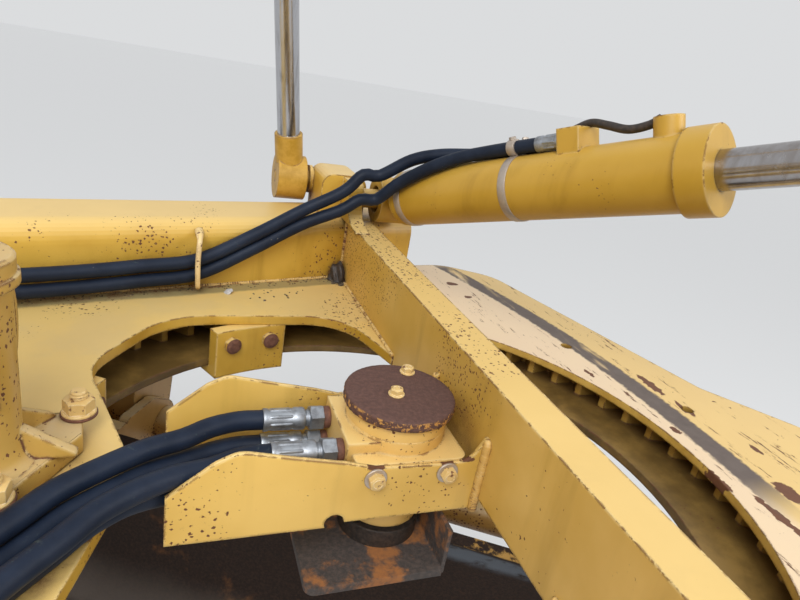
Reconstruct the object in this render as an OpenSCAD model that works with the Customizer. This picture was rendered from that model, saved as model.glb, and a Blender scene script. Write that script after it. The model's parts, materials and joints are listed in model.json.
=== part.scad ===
// Drawbar, circle and blade group of a motor grader.
// X points forward, Y to the machine's left and Z up. The origin is the centre of the drawbar's ball.
// Most pieces are drawn about the circle's centre, with z = 0 on the circle's top face.

/* [Drawbar] */
// Distance from the circle's centre forward to the drawbar's ball
ball_ahead = 2300; // [2100:10:2600]
// Height of the ball's centre above the circle's top face
ball_up = 85; // [60:5:110]
// Diameter of the drawbar's ball
ball_d = 130; // [110:2:150]
// Half the distance between the beams' inner webs, at the cross beam
web_half = 690; // [670:5:720]
// Angle at which each beam runs in towards the nose
beam_taper = 15.3; // [14:0.1:16]
// Width of each beam
beam_w = 200; // [160:5:220]
// Height of each beam above the yoke plate
beam_h = 142; // [130:1:170]
// Radius along a beam's top edges
beam_r = 42; // [20:1:55]
// Thickness of the cross beam, front to back
cross_w = 60; // [50:2:80]
// Distance of the cross beam's front web behind the circle's centre
cross_back = 100; // [95:1:120]

/* [Yoke plate] */
// Thickness of the yoke plate
plate_t = 20; // [16:1:26]
// Running height of the yoke plate above the circle
plate_gap = 8; // [7:0.5:12]
// How far the yoke plate reaches ahead of the circle's centre
plate_front = 930; // [850:10:1050]
// Length of the plate's opening ahead of the circle's centre
open_front = 345; // [325:1:350]
// Half width of the plate's opening
open_half = 452; // [430:1:470]

/* [Circle] */
// Outer radius of the circle
circle_r = 765; // [740:5:790]
// Inner radius of the circle's top plate
top_inner_r = 552; // [548:1:560]
// Thickness of the circle's top plate
top_t = 15; // [12:1:20]
// Height of the teeth
tooth_h = 42; // [36:1:60]
// Inner radius of the carrying lip under the teeth
lip_inner_r = 485; // [478:1:495]
// Thickness of the carrying lip
lip_t = 15; // [12:1:20]
// Number of teeth inside the circle
circle_teeth = 64; // [63:1:65]
// Number of teeth on the pinion
pinion_teeth = 11; // [10:1:12]
// Gear module, pitch diameter over teeth
gear_module = 18.8; // [18.6:0.05:19]
// Angle that the circle is turned to
circle_angle = 58; // [-180:1:180]
// Reach of the rear tongue behind the circle's centre
tongue_reach = 1010; // [960:10:1060]

/* [Blade] */
// Length of the blade
blade_len = 3658; // [3000:2:4300]
// Chord height of the blade's curved plate
blade_h = 565; // [520:5:620]
// Thickness of the blade's curved plate
blade_t = 22; // [16:1:26]
// Radius of the blade's front face
blade_r = 420; // [380:5:480]
// Depth of the blade's top edge under the circle's top face
blade_top = 235; // [220:5:260]
// Height of the cutting edge
edge_h = 152; // [120:2:203]
// Thickness of the cutting edge
edge_t = 16; // [13:1:25]
// Height of the cutting edge's seat on the moldboard
edge_lap = 60; // [50:1:75]
// Half spacing of the two blade arms, to their middles
arm_half = 740; // [720:5:760]
// Thickness of each blade arm
arm_t = 80; // [60:5:90]

/* [Swivel] */
// Radius of the swivel's cap
cap_r = 78; // [74:1:84]
// Thickness of the swivel's cap
cap_t = 34; // [24:1:40]
// Radius of the swivel's housing
housing_r = 70; // [64:1:72]
// Radius of the swivel's spool
spool_r = 42; // [36:1:46]
// Half width of the swivel's guard, over its side plates
guard_half = 88; // [84:1:96]
// Thickness of the guard's plates
guard_t = 6; // [5:1:8]
// Diameter of the hoses
hose_d = 27; // [22:1:30]

/* [Cylinders] */
// Outer diameter of the centre-shift barrel
shift_d = 127; // [110:1:140]
// Diameter of the centre-shift rod
shift_rod_d = 64; // [56:1:76]
// Length of the centre-shift cylinder from its ball to its gland's face
shift_len = 760; // [700:5:800]
// Length of centre-shift rod that stands out
shift_out = 250; // [200:5:300]
// Outer diameter of the lift barrels
lift_d = 114; // [100:1:127]
// Diameter of the lift rods
lift_rod_d = 54; // [48:1:60]
// Length of the lift barrels
lift_len = 1180; // [1100:10:1250]
// Length of lift rod that stands out
lift_out = 560; // [540:10:600]
// Radius of the lift barrels' trunnion pins
trunnion_r = 30; // [24:1:34]
// Length of each trunnion pin
trunnion_len = 50; // [40:1:60]
// Diameter of the ball studs
stud_ball_d = 76; // [70:1:80]
// Outer diameter of the blade's side-shift barrel
side_d = 90; // [80:1:95]
// Outer diameter of the blade's tip barrel
tip_d = 96; // [86:1:100]

/* [Fits] */
// Radial clearance of a running fit
run_fit = 0.05; // [0.02:0.01:0.09]
// Gap between sliding faces
slide_gap = 0.3; // [0.2:0.1:0.5]
// Gap at each side of a gear tooth
tooth_gap = 0.7; // [0.4:0.1:1]

/* [Hidden] */
$fn = 64;

// Levels
plate_z = plate_gap;
deck_z = plate_gap + plate_t;
beam_top = deck_z + beam_h;
lip_top = -top_t - tooth_h;
lip_bottom = lip_top - lip_t;
beam_slope = tan(beam_taper);
beam_out = beam_w / cos(beam_taper);
nose_back = 1930;
nose_front = ball_ahead - 110;
beam_tail = -cross_back - cross_w - 130;

// Gears
ring_pitch = gear_module * circle_teeth / 2;
pinion_pitch = gear_module * pinion_teeth / 2;
drive_x = ring_pitch - pinion_pitch;
ring_tip = ring_pitch - 0.85 * gear_module;
ring_root = ring_pitch + 1.15 * gear_module;
pinion_tip = pinion_pitch + gear_module;
pinion_root = pinion_pitch - 1.15 * gear_module;
pressure = 25;
shaft_r = 42;
pinion_clear = 5;

// Ball studs: the lift rods stand on the front ones, the centre-shift cylinder on the rear one
block_front = -40;
block_back = -150;
block_in = 740;
block_top = 268;
stud_r = 23;
lift_ball = [15, 872, 225];
shift_ball = [-203, -713, 224];
shift_dir = [-0.370, 0.8725, 0.318];
lift_dir = [0.15, -0.22, 1];
ear_back = -125;
ear_t = 34;
socket_r = 55;
socket_half = 36;
// Distance from the ball to the inner end of the centre-shift rod
shift_inner = 280;

// Blade group, in the circle's own frame
blade_mid_z = -blade_top - blade_h / 2;
// Place of the blade's front face where the moldboard is deepest
blade_belly = -259.2046;
blade_cx = blade_belly + blade_r;
rail_u = -400;
rail_l = -640;
rail_half = 1380;
rail_head = [-330, -300];
rail_head_h = 50;
rail_web_t = 16;
tip_pivot = [-470, -660];
tip_pin_r = 32;
tip_eye = [-510, -440];
tip_base = [-930, -150];
tip_tilt = atan2(tip_base.y - tip_eye.y, tip_eye.x - tip_base.x);
tip_rest = norm(tip_eye - tip_base);
side_at = [-346, -535];
side_rod_r = 28;
side_gland = 600;
side_lug = 1400;
// The inner end of the side-shift rod stays in its barrel over the stroke each way
side_stroke = 500;
side_inner = -side_gland + 50 + side_stroke;
carrier_plate = 24;
tube_r = 44;
tip_rod_r = 25;
tip_eye_half = 30;
tip_pin = 20;

function unit(v) = v / norm(v);
function corner(a, b, c, r, n) =
  let (u = unit(a - b), v = unit(c - b), h = acos(u * v) / 2,
    m = b + unit(u + v) * r / sin(h), p = b + u * r / tan(h), q = b + v * r / tan(h),
    s = atan2(p.y - m.y, p.x - m.x),
    w = (atan2(q.y - m.y, q.x - m.x) - s + 540) % 360 - 180)
  [for (i = [0:n]) m + r * [cos(s + w * i / n), sin(s + w * i / n)]];
// A polygon's points from rows of x, y and corner radius
function rounded(t, n = 6) = [for (i = [0:len(t) - 1])
  let (a = t[(i + len(t) - 1) % len(t)], b = t[i], c = t[(i + 1) % len(t)],
    q = b[2] > 0 ? corner([a.x, a.y], [b.x, b.y], [c.x, c.y], b[2], n) : [[b.x, b.y]])
  each q];
function web_y(x) = web_half - (x + cross_back) * beam_slope;

// Involute flanks
function inv(rb, r) = let (a = acos(min(1, rb / r))) tan(a) * 180 / PI - a;
function half_angle(n, rp, r, gap) =
  let (rb = rp * cos(pressure)) 90 / n + gap / rp * 180 / PI + inv(rb, rp) - inv(rb, max(r, rb));
function polar(r, a) = r * [cos(a), sin(a)];
function gear_points(n, rp, low, high, gap, steps) = [for (i = [0:n - 1])
  let (t = i * 360 / n) each concat(
    [for (k = [0:steps]) let (r = low + (high - low) * k / steps) polar(r, t - half_angle(n, rp, r, gap))],
    [for (k = [steps:-1:0]) let (r = low + (high - low) * k / steps) polar(r, t + half_angle(n, rp, r, gap))])];

// A tube of eight sides along a route
function frame_at(p, i) = unit(i == 0 ? p[1] - p[0] : i == len(p) - 1 ? p[i] - p[i - 1]
  : unit(p[i + 1] - p[i]) + unit(p[i] - p[i - 1]));
module tube_along(p, d, sides = 8) {
  n = len(p);
  pts = [for (i = [0:n - 1]) let (f = frame_at(p, i), s = unit(cross([0, 0, 1], f)), t = cross(f, s))
    for (k = [0:sides - 1]) p[i] + d / 2 * (s * cos(360 * k / sides) + t * sin(360 * k / sides))];
  polyhedron(pts, concat([[for (k = [sides - 1:-1:0]) k]],
    [for (i = [0:n - 2]) for (k = [0:sides - 1]) let (a = i * sides + k, b = i * sides + (k + 1) % sides)
      each [[a, b, a + sides], [b, b + sides, a + sides]]],
    [[for (k = [0:sides - 1]) (n - 1) * sides + k]]), convexity = 8);
}

// Placing: everything hangs from the ball, and the blade group turns with the circle
module at_drawbar() { translate([-ball_ahead, 0, -ball_up]) children(); }
module at_circle() { at_drawbar() rotate([0, 0, circle_angle]) children(); }
module side(s) { if (s > 0) children(); else mirror([0, 1, 0]) children(); }
module plate_xz(y0, y1) { translate([0, y1, 0]) rotate([90, 0, 0]) linear_extrude(y1 - y0) children(); }
module rod_y(p, r, y0, y1) { translate([p.x, y0, p.y]) rotate([-90, 0, 0]) cylinder(h = y1 - y0, r = r); }
module rod_x(r, x0, x1) { translate([x0, 0, 0]) rotate([0, 90, 0]) cylinder(h = x1 - x0, r = r); }
module block(a, b) { translate(a) cube(b - a); }
module aim(p, d) { translate(p) rotate([0, 0, atan2(d.y, d.x)]) rotate([0, acos(d.z / norm(d)), 0]) children(); }

// Drawbar
module beam_profile() {
  r = beam_r;
  polygon(rounded([[0, deck_z, 0], [beam_w, deck_z, 0], [beam_w, beam_top, r], [0, beam_top, r]], 8));
}
module beam_body() {
  intersection() {
    translate([-cross_back, web_half, 0]) rotate([0, 0, -beam_taper]) translate([-400, 0, 0])
      rotate([90, 0, 90]) linear_extrude(2900) beam_profile();
    block([beam_tail, 0, 0], [nose_back, 1200, 400]);
  }
}
module beam_left() { color("goldenrod") at_drawbar() beam_body(); }
module beam_right() { color("goldenrod") at_drawbar() side(-1) beam_body(); }

module nose() {
  y0 = web_y(nose_back);
  y1 = y0 + beam_out;
  color("goldenrod") at_drawbar() {
    translate([0, 0, deck_z]) linear_extrude(beam_h) polygon(rounded([[nose_back, -y1, 0],
      [nose_back + 70, -y1 + 25, 60], [nose_front, -70, 25], [nose_front, 70, 25], [nose_back + 70, y1 - 25, 60],
      [nose_back, y1, 0], [nose_back, y0, 0], [nose_back + 60, 0, 60], [nose_back, -y0, 0]]));
    translate([0, 0, ball_up]) {
      rod_x(ball_d * 0.34, nose_front - 10, ball_ahead - ball_d * 0.3);
      translate([ball_ahead, 0, 0]) sphere(d = ball_d);
    }
  }
}

module cross_beam() {
  color("goldenrod") at_drawbar() difference() {
    block([-cross_back - cross_w, -web_half - 40, plate_z], [-cross_back, web_half + 40, beam_top]);
    for (s = [-1, 1]) side(s) translate([-cross_back, web_half, 0]) rotate([0, 0, -beam_taper])
      translate([-200, 0, -50]) cube([400, 200, 400]);
  }
}

opening = [[-cross_back - 1, -270, 0], [-45, -open_half, 110], [300, -open_half + 7, 150], [open_front + 67, -260, 110],
  [open_front, -40, 90], [open_front, 40, 90], [open_front + 67, 260, 110], [300, open_half - 7, 150],
  [-45, open_half, 110], [-cross_back - 1, 270, 0]];
module yoke_plate() {
  o = beam_out;
  color("goldenrod") at_drawbar() translate([0, 0, plate_z]) linear_extrude(plate_t) difference() {
    polygon([[beam_tail, web_y(beam_tail) + o], [plate_front, web_y(plate_front) + o],
      [plate_front, web_y(plate_front)], [plate_front - 90, 0], [plate_front, -web_y(plate_front)],
      [plate_front, -web_y(plate_front) - o], [beam_tail, -web_y(beam_tail) - o], [beam_tail, -web_y(beam_tail)],
      [-cross_back, -web_half], [-cross_back, web_half], [beam_tail, web_y(beam_tail)]]);
    polygon(rounded(opening));
    translate([drive_x, 0]) circle(r = shaft_r + 20);
  }
}

module corner_block(s) {
  out = web_y(block_front) + beam_out;
  color("goldenrod") at_drawbar() side(s) {
    difference() {
      plate_xz(block_in, out - 4) polygon(rounded([[block_back, beam_top - beam_r, 0], [block_back, block_top, 28],
        [block_front, block_top, 28], [block_front, beam_top - beam_r, 0]]));
      beam_body();
    }
    translate([0, lift_ball.y, lift_ball.z]) {
      rod_x(stud_r, block_front - 10, lift_ball.x);
      rod_x(stud_r + 12, block_front - 1, block_front + 8);
      translate([lift_ball.x, 0, 0]) sphere(d = stud_ball_d);
    }
    if (s < 0) {
      translate([ear_back, 0, 0]) rotate([90, 0, 90]) linear_extrude(ear_t) polygon(rounded([[block_in + 1, beam_top, 0],
        [block_in + 1, block_top - 4, 0], [-shift_ball.y - 36, block_top - 4, 26], [-shift_ball.y - 40, beam_top + 14, 50],
        [-shift_ball.y - 130, beam_top, 0]]));
      translate([0, -shift_ball.y, shift_ball.z]) {
        rod_x(stud_r, shift_ball.x, ear_back + 5);
        translate([shift_ball.x, 0, 0]) sphere(d = stud_ball_d);
      }
    }
  }
}
module corner_block_left() { corner_block(1); }
module corner_block_right() { corner_block(-1); }

// Shoes hang under the yoke plate and carry the circle by its lip
shoe_at = [-72, -24, 24, 72];
shoe_w = 9;
foot_t = 18;
module ring_sector(r0, r1, z0, z1, mid, half) {
  intersection() {
    rotate_extrude($fn = 180) polygon([[r0, z0], [r1, z0], [r1, z1], [r0, z1]]);
    rotate([0, 0, mid]) translate([0, 0, z0 - 1]) linear_extrude(z1 - z0 + 2)
      polygon([[0, 0], polar(2 * r1, -half), polar(2 * r1, half)]);
  }
}
module circle_shoes() {
  r1 = lip_inner_r - 0.5;
  z1 = lip_bottom - slide_gap;
  color("goldenrod") at_drawbar() for (a = shoe_at) {
    ring_sector(r1 - 26, r1, z1 - foot_t, plate_z, a, shoe_w);
    ring_sector(r1 - 26, r1 + 62, z1 - foot_t, z1, a, shoe_w);
    for (b = [-5, 5]) rotate([0, 0, a + b]) translate([r1 - 36, 0, -22]) rotate([0, 90, 0]) cylinder(h = 14, r = 15, $fn = 6);
  }
}
module wear_strips() {
  color("dimgray") at_drawbar() for (a = [-75, -38, 38, 75])
    ring_sector(ring_tip + 10, ring_tip + 50, slide_gap, plate_z, a, 12);
}

// Circle drive: foot, ribs and column on the yoke plate
module drive_housing() {
  color("goldenrod") at_drawbar() difference() {
    union() {
      translate([drive_x, 0, deck_z]) linear_extrude(foot_h) polygon(rounded(foot_shape, 4));
      translate([drive_x, 0, deck_z]) cylinder(h = 300, r = 60);
      translate([drive_x, 0, deck_z + 300]) cylinder(h = 22, r = 92);
      translate([drive_x, 0, plate_z]) cylinder(h = plate_t + 1, r = shaft_r + 19);
      for (a = [0:90:270]) translate([drive_x, 0, deck_z + foot_h]) rotate([0, 0, a]) rotate([90, 0, 0])
        translate([0, 0, -7]) linear_extrude(14) polygon([[50, 0], [104, 0], [58, 110], [50, 110]]);
      translate([drive_x, 0, deck_z + 200]) rotate([0, 0, 150]) rod_x(42, 40, 76);
    }
    translate([drive_x, 0, plate_z - 1]) cylinder(h = 220, r = shaft_r + run_fit);
    for (p = drive_stud_at) translate([drive_x + p.x, p.y, deck_z - 1]) cylinder(h = foot_h + 2, r = stud_hole);
  }
}
foot_h = 28;
foot_shape = [[-130, -115, 30], [130, -115, 30], [130, 108, 30], [-50, 108, 24], [-130, -30, 24]];
drive_stud_at = [[-98, -80], [-38, 76], [98, 76], [98, -80]];
stud_hole = 11;
module drive_head() {
  z = deck_z + 322;
  color("goldenrod") at_drawbar() translate([drive_x, 0, z]) {
    translate([0, 0, 75]) rotate([90, 0, 0]) cylinder(h = 240, r = 72, center = true);
    linear_extrude(78) polygon(rounded([[-92, -92, 20], [92, -92, 20], [92, 92, 20], [-92, 92, 20]]));
    translate([0, 0, 140]) cylinder(h = 18, r = 50);
  }
}
module drive_motor() {
  z = deck_z + 322 + 75;
  color("darkgoldenrod") at_drawbar() translate([drive_x, 0, z]) {
    rotate([-90, 0, 0]) translate([0, 0, 120]) cylinder(h = 20, r = 66);
    rotate([-90, 0, 0]) translate([0, 0, 140]) cylinder(h = 120, r = 52);
    rotate([-90, 0, 0]) translate([0, 0, 260]) cylinder(h = 22, r = 58);
  }
}
module drive_nuts() {
  color("tan") at_drawbar() for (p = drive_stud_at) translate([drive_x + p.x, p.y, deck_z]) {
    cylinder(h = foot_h + 34, r = stud_hole - run_fit);
    translate([0, 0, foot_h]) cylinder(h = 5, r = 22);
    translate([0, 0, foot_h + 5]) cylinder(h = 17, r = 19, $fn = 6);
  }
}

// Swivel
cap_bottom = 89;
base_z = [38, 68];
lower_r = 55;
lower_z = -62;
port_x = 84;
port_y = 38;
port_z = [62, 22];
cap_bolt_at = [[-29, -52], [8, 6]];
guard_bolt_x = [52, -47];
module swivel_housing() {
  g = guard_half - guard_t;
  color("goldenrod") at_drawbar() difference() {
    union() {
      translate([0, 0, base_z[0]]) cylinder(h = cap_bottom - base_z[0], r = housing_r);
      translate([0, 0, base_z[0]]) linear_extrude(base_z[1] - base_z[0])
        polygon(rounded([[-78, -g, 14], [port_x - 8, -g, 14], [port_x - 8, g, 14], [-78, g, 14]]));
      translate([0, 0, lower_z]) cylinder(h = base_z[0] - lower_z + 1, r = lower_r);
      block([20, -58, 4], [port_x, 58, 84]);
    }
    translate([0, 0, lower_z - 1]) cylinder(h = cap_bottom - 6 - lower_z, r = spool_r + run_fit);
  }
}
module swivel_cap() {
  color("saddlebrown") at_drawbar() translate([0, 0, cap_bottom]) cylinder(h = cap_t, r = cap_r);
}
module swivel_bolts() {
  color("tan") at_drawbar() {
    for (p = cap_bolt_at) translate([p.x, p.y, cap_bottom + cap_t]) cylinder(h = 9, r = 9, $fn = 6);
    for (s = [-1, 1]) side(s) for (x = guard_bolt_x) {
      rod_y([x, 53], 14, guard_half, guard_half + 4);
      translate([x, guard_half + 4, 53]) rotate([-90, 0, 0]) cylinder(h = 10, r = 11, $fn = 6);
    }
  }
}
guard_side = [[-cross_back, -12, 0], [96, -12, 0], [98, -18, 0], [297, -18, 0], [297, 50, 0], [246, 92, 20],
  [220, 105, 30], [150, 90, 0], [94, 79, 0], [52, 68, 0], [-47, 65, 20], [-78, 68, 20], [-cross_back + 4, 100, 0],
  [-cross_back, 100, 0]];
module swivel_guard() {
  color("goldenrod") at_drawbar() {
    for (s = [-1, 1]) side(s) difference() {
      plate_xz(guard_half - guard_t, guard_half) polygon(rounded(guard_side, 4));
      rod_y([97, -12], 13, guard_half - guard_t - 1, guard_half + 1);
    }
    block([110, -guard_half + guard_t, -18], [297, guard_half - guard_t, -18 + guard_t]);
  }
}
module swivel_fittings() {
  color("silver") at_drawbar() for (s = [-1, 1], z = port_z) translate([0, s * port_y, z]) {
    rod_x(15, port_x, port_x + 10);
    translate([port_x + 10, 0, 0]) rotate([0, 90, 0]) cylinder(h = 20, r = 18, $fn = 6);
    rod_x(11, port_x + 30, port_x + 36);
    rod_x(15.5, port_x + 36, port_x + 92);
  }
}
// Routes of the swivel's hoses over the plate to the left beam's bulkhead: x, y, upper height and lower height
swivel_route = [[176, 0, 62, 22], [214, 0, 62, 22], [276, 10, 76, 42], [330, 42, 98, 68], [380, 100, 108, 75],
  [436, 162, 108, 75], [488, 224, 106, 73], [540, 284, 98, 66], [604, 348, 88, 54], [668, 412, 88, 54]];
function ahead(p, i) = unit((i < len(p) - 1 ? p[i + 1] : p[i]) - (i > 0 ? p[i - 1] : p[i]));
function beside(p, off, k) = let (f = [for (q = p) [q.x, q.y]]) [for (i = [0:len(p) - 1])
  let (d = ahead(f, i)) [p[i].x - off * d.y, p[i].y + off * d.x, p[i][k]]];
module swivel_hoses() {
  color("black") at_drawbar() for (s = [-1, 1], k = [2, 3]) tube_along(beside(swivel_route, s * port_y, k), hose_d);
}
module bulkhead_left() {
  n = len(swivel_route);
  m = [swivel_route[n - 1].x, swivel_route[n - 1].y];
  d = unit(m - [swivel_route[n - 2].x, swivel_route[n - 2].y]);
  color("goldenrod") at_drawbar() difference() {
    translate([m.x, m.y, deck_z]) rotate([0, 0, atan2(d.y, d.x)]) block([0, -port_y - 22, 0], [170, port_y + 22, 86]);
    beam_body();
  }
}

// Routes of the centre-shift hoses. Along the right web each row ends with the second hose's offsets in y and z
web_route = [[742, -424, 68, 0, 32], [706, -424, 68, 0, 32], [620, -449, 58, 0, 31], [530, -482, 54, 0, 31],
  [440, -512, 54, 0, 31], [350, -540, 58, 0, 31], [240, -572, 66, 0, 31], [130, -600, 116, 0, 31],
  [26, -622, 172, 0, 32], [-60, -622, 212, 0, 42], [-100, -620, 240, 0, 56], [-126, -620, 240, 0, 56]];
// Rows over the barrel: distance along its axis, height over it and angle round it
rise_routes = [[[-127, -620, 240], [-149, -620, 240], [-170, -588, 288]],
  [[-127, -620, 296], [-149, -620, 296], [-196, -592, 344], [-246, -556, 368]]];
barrel_rows = [[[190, 81, -48], [260, 80, -28], [340, 79, -14], [494, 79, -12]], [[275, 80, 12], [350, 79, 12], [494, 79, 12]]];
shift_up = unit([-shift_dir.x * shift_dir.z, -shift_dir.y * shift_dir.z, shift_dir.x * shift_dir.x + shift_dir.y * shift_dir.y]);
shift_far = cross(shift_up, unit(shift_dir));
function on_barrel(r) = shift_ball + r[0] * unit(shift_dir) + r[1] * (cos(r[2]) * shift_up + sin(r[2]) * shift_far);
module shift_hoses() {
  color("black") at_drawbar() for (k = [0, 1])
    tube_along([for (p = web_route) [p.x, p.y + k * p[3], p.z + k * p[4]]], hose_d);
}
module barrel_hoses() {
  color("black") at_drawbar() for (k = [0, 1])
    tube_along(concat(rise_routes[k], [for (r = barrel_rows[k]) on_barrel(r)]), hose_d);
}
module bulkhead_right() {
  color("goldenrod") at_drawbar() difference() {
    translate([0, 0, deck_z]) linear_extrude(100) polygon([[742, -500], [742, -390], [800, -390], [840, -430], [840, -500]]);
    side(-1) beam_body();
  }
}
module hose_staple() {
  x = 240;
  y = -web_y(x);
  color("goldenrod") at_drawbar() difference() {
    union() {
      for (z = [staple_low, staple_high]) translate([x, y - 5, z]) rotate([-90, 0, 0]) cylinder(h = 60, r = 5);
      translate([x, y + 50, staple_low - 5]) cylinder(h = staple_high - staple_low + 10, r = 5);
    }
    side(-1) beam_body();
  }
}
staple_low = 40;
staple_high = 150;

// Circle
deck_shape = [[60, 700, 0], [-20, 800, 60], [-110, 838, 60], [-380, 838, 80], [-478, 744, 40], [-553, 569, 30],
  [-tongue_reach, 80, 110], [-tongue_reach, -80, 110], [-553, -569, 30], [-478, -744, 40], [-380, -838, 80],
  [-110, -838, 60], [-20, -800, 60], [60, -700, 0]];
module gear_ring_2d() {
  difference() {
    circle(r = circle_r - 65);
    polygon(gear_points(circle_teeth, ring_pitch, ring_tip, ring_root, tooth_gap, 3));
  }
}
module circle_ring() {
  color("goldenrod") at_drawbar() {
    difference() {
      union() {
        translate([0, 0, -top_t]) rotate([0, 0, circle_angle]) linear_extrude(top_t) polygon(rounded(deck_shape));
        translate([0, 0, -top_t]) cylinder(h = top_t, r = circle_r);
      }
      translate([0, 0, -top_t - 1]) cylinder(h = top_t + 2, r = top_inner_r);
      rotate([0, 0, circle_angle]) for (a = [105:25:255]) rotate([0, 0, a]) translate([672, 0, -top_t - 1])
        cylinder(h = top_t + 2, r = 13);
    }
    translate([0, 0, lip_top - 0.01]) linear_extrude(tooth_h + 0.02) gear_ring_2d();
    rotate_extrude() polygon([[lip_inner_r, lip_bottom], [circle_r - 65, lip_bottom], [circle_r - 65, lip_top],
      [lip_inner_r, lip_top]]);
    rotate_extrude() polygon([[circle_r - 22, lip_bottom], [circle_r, lip_bottom], [circle_r, -top_t / 2],
      [circle_r - 22, -top_t / 2]]);
  }
}
module blade_arm(s) {
  z0 = lip_bottom;
  color("goldenrod") at_circle() side(s) {
    difference() {
      union() {
        plate_xz(arm_half - arm_t / 2, arm_half + arm_t / 2) polygon(rounded([[-560, z0, 0], [-90, z0, 0],
          [-110, z0 - 30, 20], [-432, -250, 60], [-408, tip_pivot.y, 0], [-470, tip_pivot.y - 70, 60],
          [-540, tip_pivot.y - 10, 60], [-600, -330, 140]], 5));
        rod_y(tip_pivot, 72, arm_half - arm_t / 2, arm_half + arm_t / 2);
        block([-380, arm_half - 60, z0], [-120, arm_half + 60, -top_t]);
      }
      rod_y(tip_pivot, tip_pin_r + run_fit, arm_half - arm_t, arm_half + arm_t);
      translate([0, 0, lip_bottom - 1]) cylinder(h = -lip_bottom - top_t + 2, r = circle_r + 0.01);
    }
  }
}
module blade_arm_left() { blade_arm(1); }
module blade_arm_right() { blade_arm(-1); }

// Lug under the tongue that carries the tip cylinder
module tip_lug() {
  color("goldenrod") at_circle() for (s = [-1, 1]) side(s) difference() {
    plate_xz(36, 58) polygon(rounded([[tip_base.x - 60, -top_t, 0], [tip_base.x + 150, -top_t, 0],
      [tip_base.x + 45, tip_base.y - 40, 40], [tip_base.x - 45, tip_base.y - 40, 40]], 5));
    rod_y(tip_base, 20 + run_fit, 30, 64);
  }
}

module swivel_spool() {
  color("dimgray") at_drawbar() {
    translate([0, 0, lower_z - 34]) cylinder(h = cap_bottom - 12 - lower_z + 34, r = spool_r);
    translate([0, 0, lower_z - 34]) cylinder(h = 28, r = lower_r + 4);
  }
}
module spool_bracket() {
  z = lower_z - 46;
  color("saddlebrown") at_drawbar() {
    translate([0, 0, z]) linear_extrude(12) polygon(rounded([[-62, -45, 0], [128, -45, 14], [128, 110, 14], [-62, 110, 0]]));
    block([-68, -40, z], [-62, 105, z + 74]);
  }
}

module pinion() {
  color("gray") at_drawbar() translate([drive_x, 0, 0]) {
    translate([0, 0, lip_top + pinion_clear]) linear_extrude(tooth_h - 2 * pinion_clear)
      polygon(gear_points(pinion_teeth, pinion_pitch, pinion_root, pinion_tip, -tooth_gap, 4));
    translate([0, 0, lip_top + pinion_clear]) cylinder(h = 200, r = shaft_r);
  }
}

// Tip carriers: plates each side of an arm, with a shoe for each rail
carrier_shape = [[-356, -345, 20], [-356, -480, 10], [-398, -495, 10], [-398, -575, 10], [-356, -590, 10],
  [-356, -705, 20], [-470, -745, 70], [-560, -690, 60], [-560, -400, 60], [-470, -345, 40]];
module rail_slot(z) {
  g = slide_gap;
  block([rail_head[0] - g, -4000, z - rail_head_h / 2 - g], [rail_head[1] + g, 4000, z + rail_head_h / 2 + g]);
  block([rail_head[1], -4000, z - rail_web_t / 2 - 6], [rail_head[1] + 60, 4000, z + rail_web_t / 2 + 6]);
}
module carrier(s) {
  c = arm_half;
  gap = arm_t / 2 + 5;
  color("goldenrod") at_circle() side(s) difference() {
    union() {
      for (y = [c - gap - carrier_plate, c + gap]) plate_xz(y, y + carrier_plate) polygon(rounded(carrier_shape, 5));
      for (z = [rail_u, rail_l])
        block([-358, c - gap - carrier_plate, z - 48], [-286, c + gap + carrier_plate, z + 48]);
    }
    for (z = [rail_u, rail_l]) rail_slot(z);
    rod_y(tip_pivot, tip_pin_r, c - gap - 40, c + gap + 40);
  }
}
module carrier_left() { carrier(1); }
module carrier_right() { carrier(-1); }
module carrier_pins() {
  gap = arm_t / 2 + 5;
  color("gray") at_circle() for (s = [-1, 1]) side(s) {
    rod_y(tip_pivot, tip_pin_r, arm_half - gap - carrier_plate, arm_half + gap + carrier_plate);
    rod_y(tip_pivot, tip_pin_r + 10, arm_half + gap + carrier_plate, arm_half + gap + carrier_plate + 8);
  }
}
module carrier_tube() {
  eye_gap = tip_eye_half + slide_gap;
  y1 = arm_half - arm_t / 2 - 5 - carrier_plate;
  color("goldenrod") at_circle() {
    difference() {
      rod_y(tip_eye, tube_r, -y1, y1);
      block([tip_eye.x - 90, -eye_gap, tip_eye.y - 60], [tip_eye.x + 70, eye_gap, tip_eye.y + 60]);
    }
    for (s = [-1, 1], y = [300, 520]) side(s) plate_xz(y, y + carrier_plate) difference() {
      polygon(rounded([[tip_eye.x - 64, tip_eye.y, 50], [tip_eye.x + 20, tip_eye.y + 90, 60], [side_at.x + 62, side_at.y + 24, 55],
        [side_at.x + 40, side_at.y - 68, 50], [tip_eye.x - 20, tip_eye.y - 80, 60]]));
      translate(tip_eye) circle(r = tube_r);
      translate(side_at) circle(r = side_d / 2);
    }
    for (s = [-1, 1]) side(s) {
      plate_xz(eye_gap, eye_gap + 18) polygon(rounded([[tip_eye.x - 50, tip_eye.y + 50, 30],
        [tip_eye.x + 60, tip_eye.y + 50, 30], [tip_eye.x + 60, tip_eye.y - 60, 30], [tip_eye.x - 50, tip_eye.y - 60, 30]]));
      rod_y(tip_eye, tip_pin, eye_gap + 18, eye_gap + 26);
    }
  }
}
module side_shift_barrel() {
  color("goldenrod") at_circle() {
    difference() {
      union() {
        rod_y(side_at, side_d / 2, -side_gland, side_gland);
        for (s = [-1, 1]) side(s) rod_y(side_at, side_d / 2 + 8, side_gland - 40, side_gland);
      }
      rod_y(side_at, side_rod_r + run_fit, -side_gland + 40, side_gland + 1);
    }
  }
}

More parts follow.
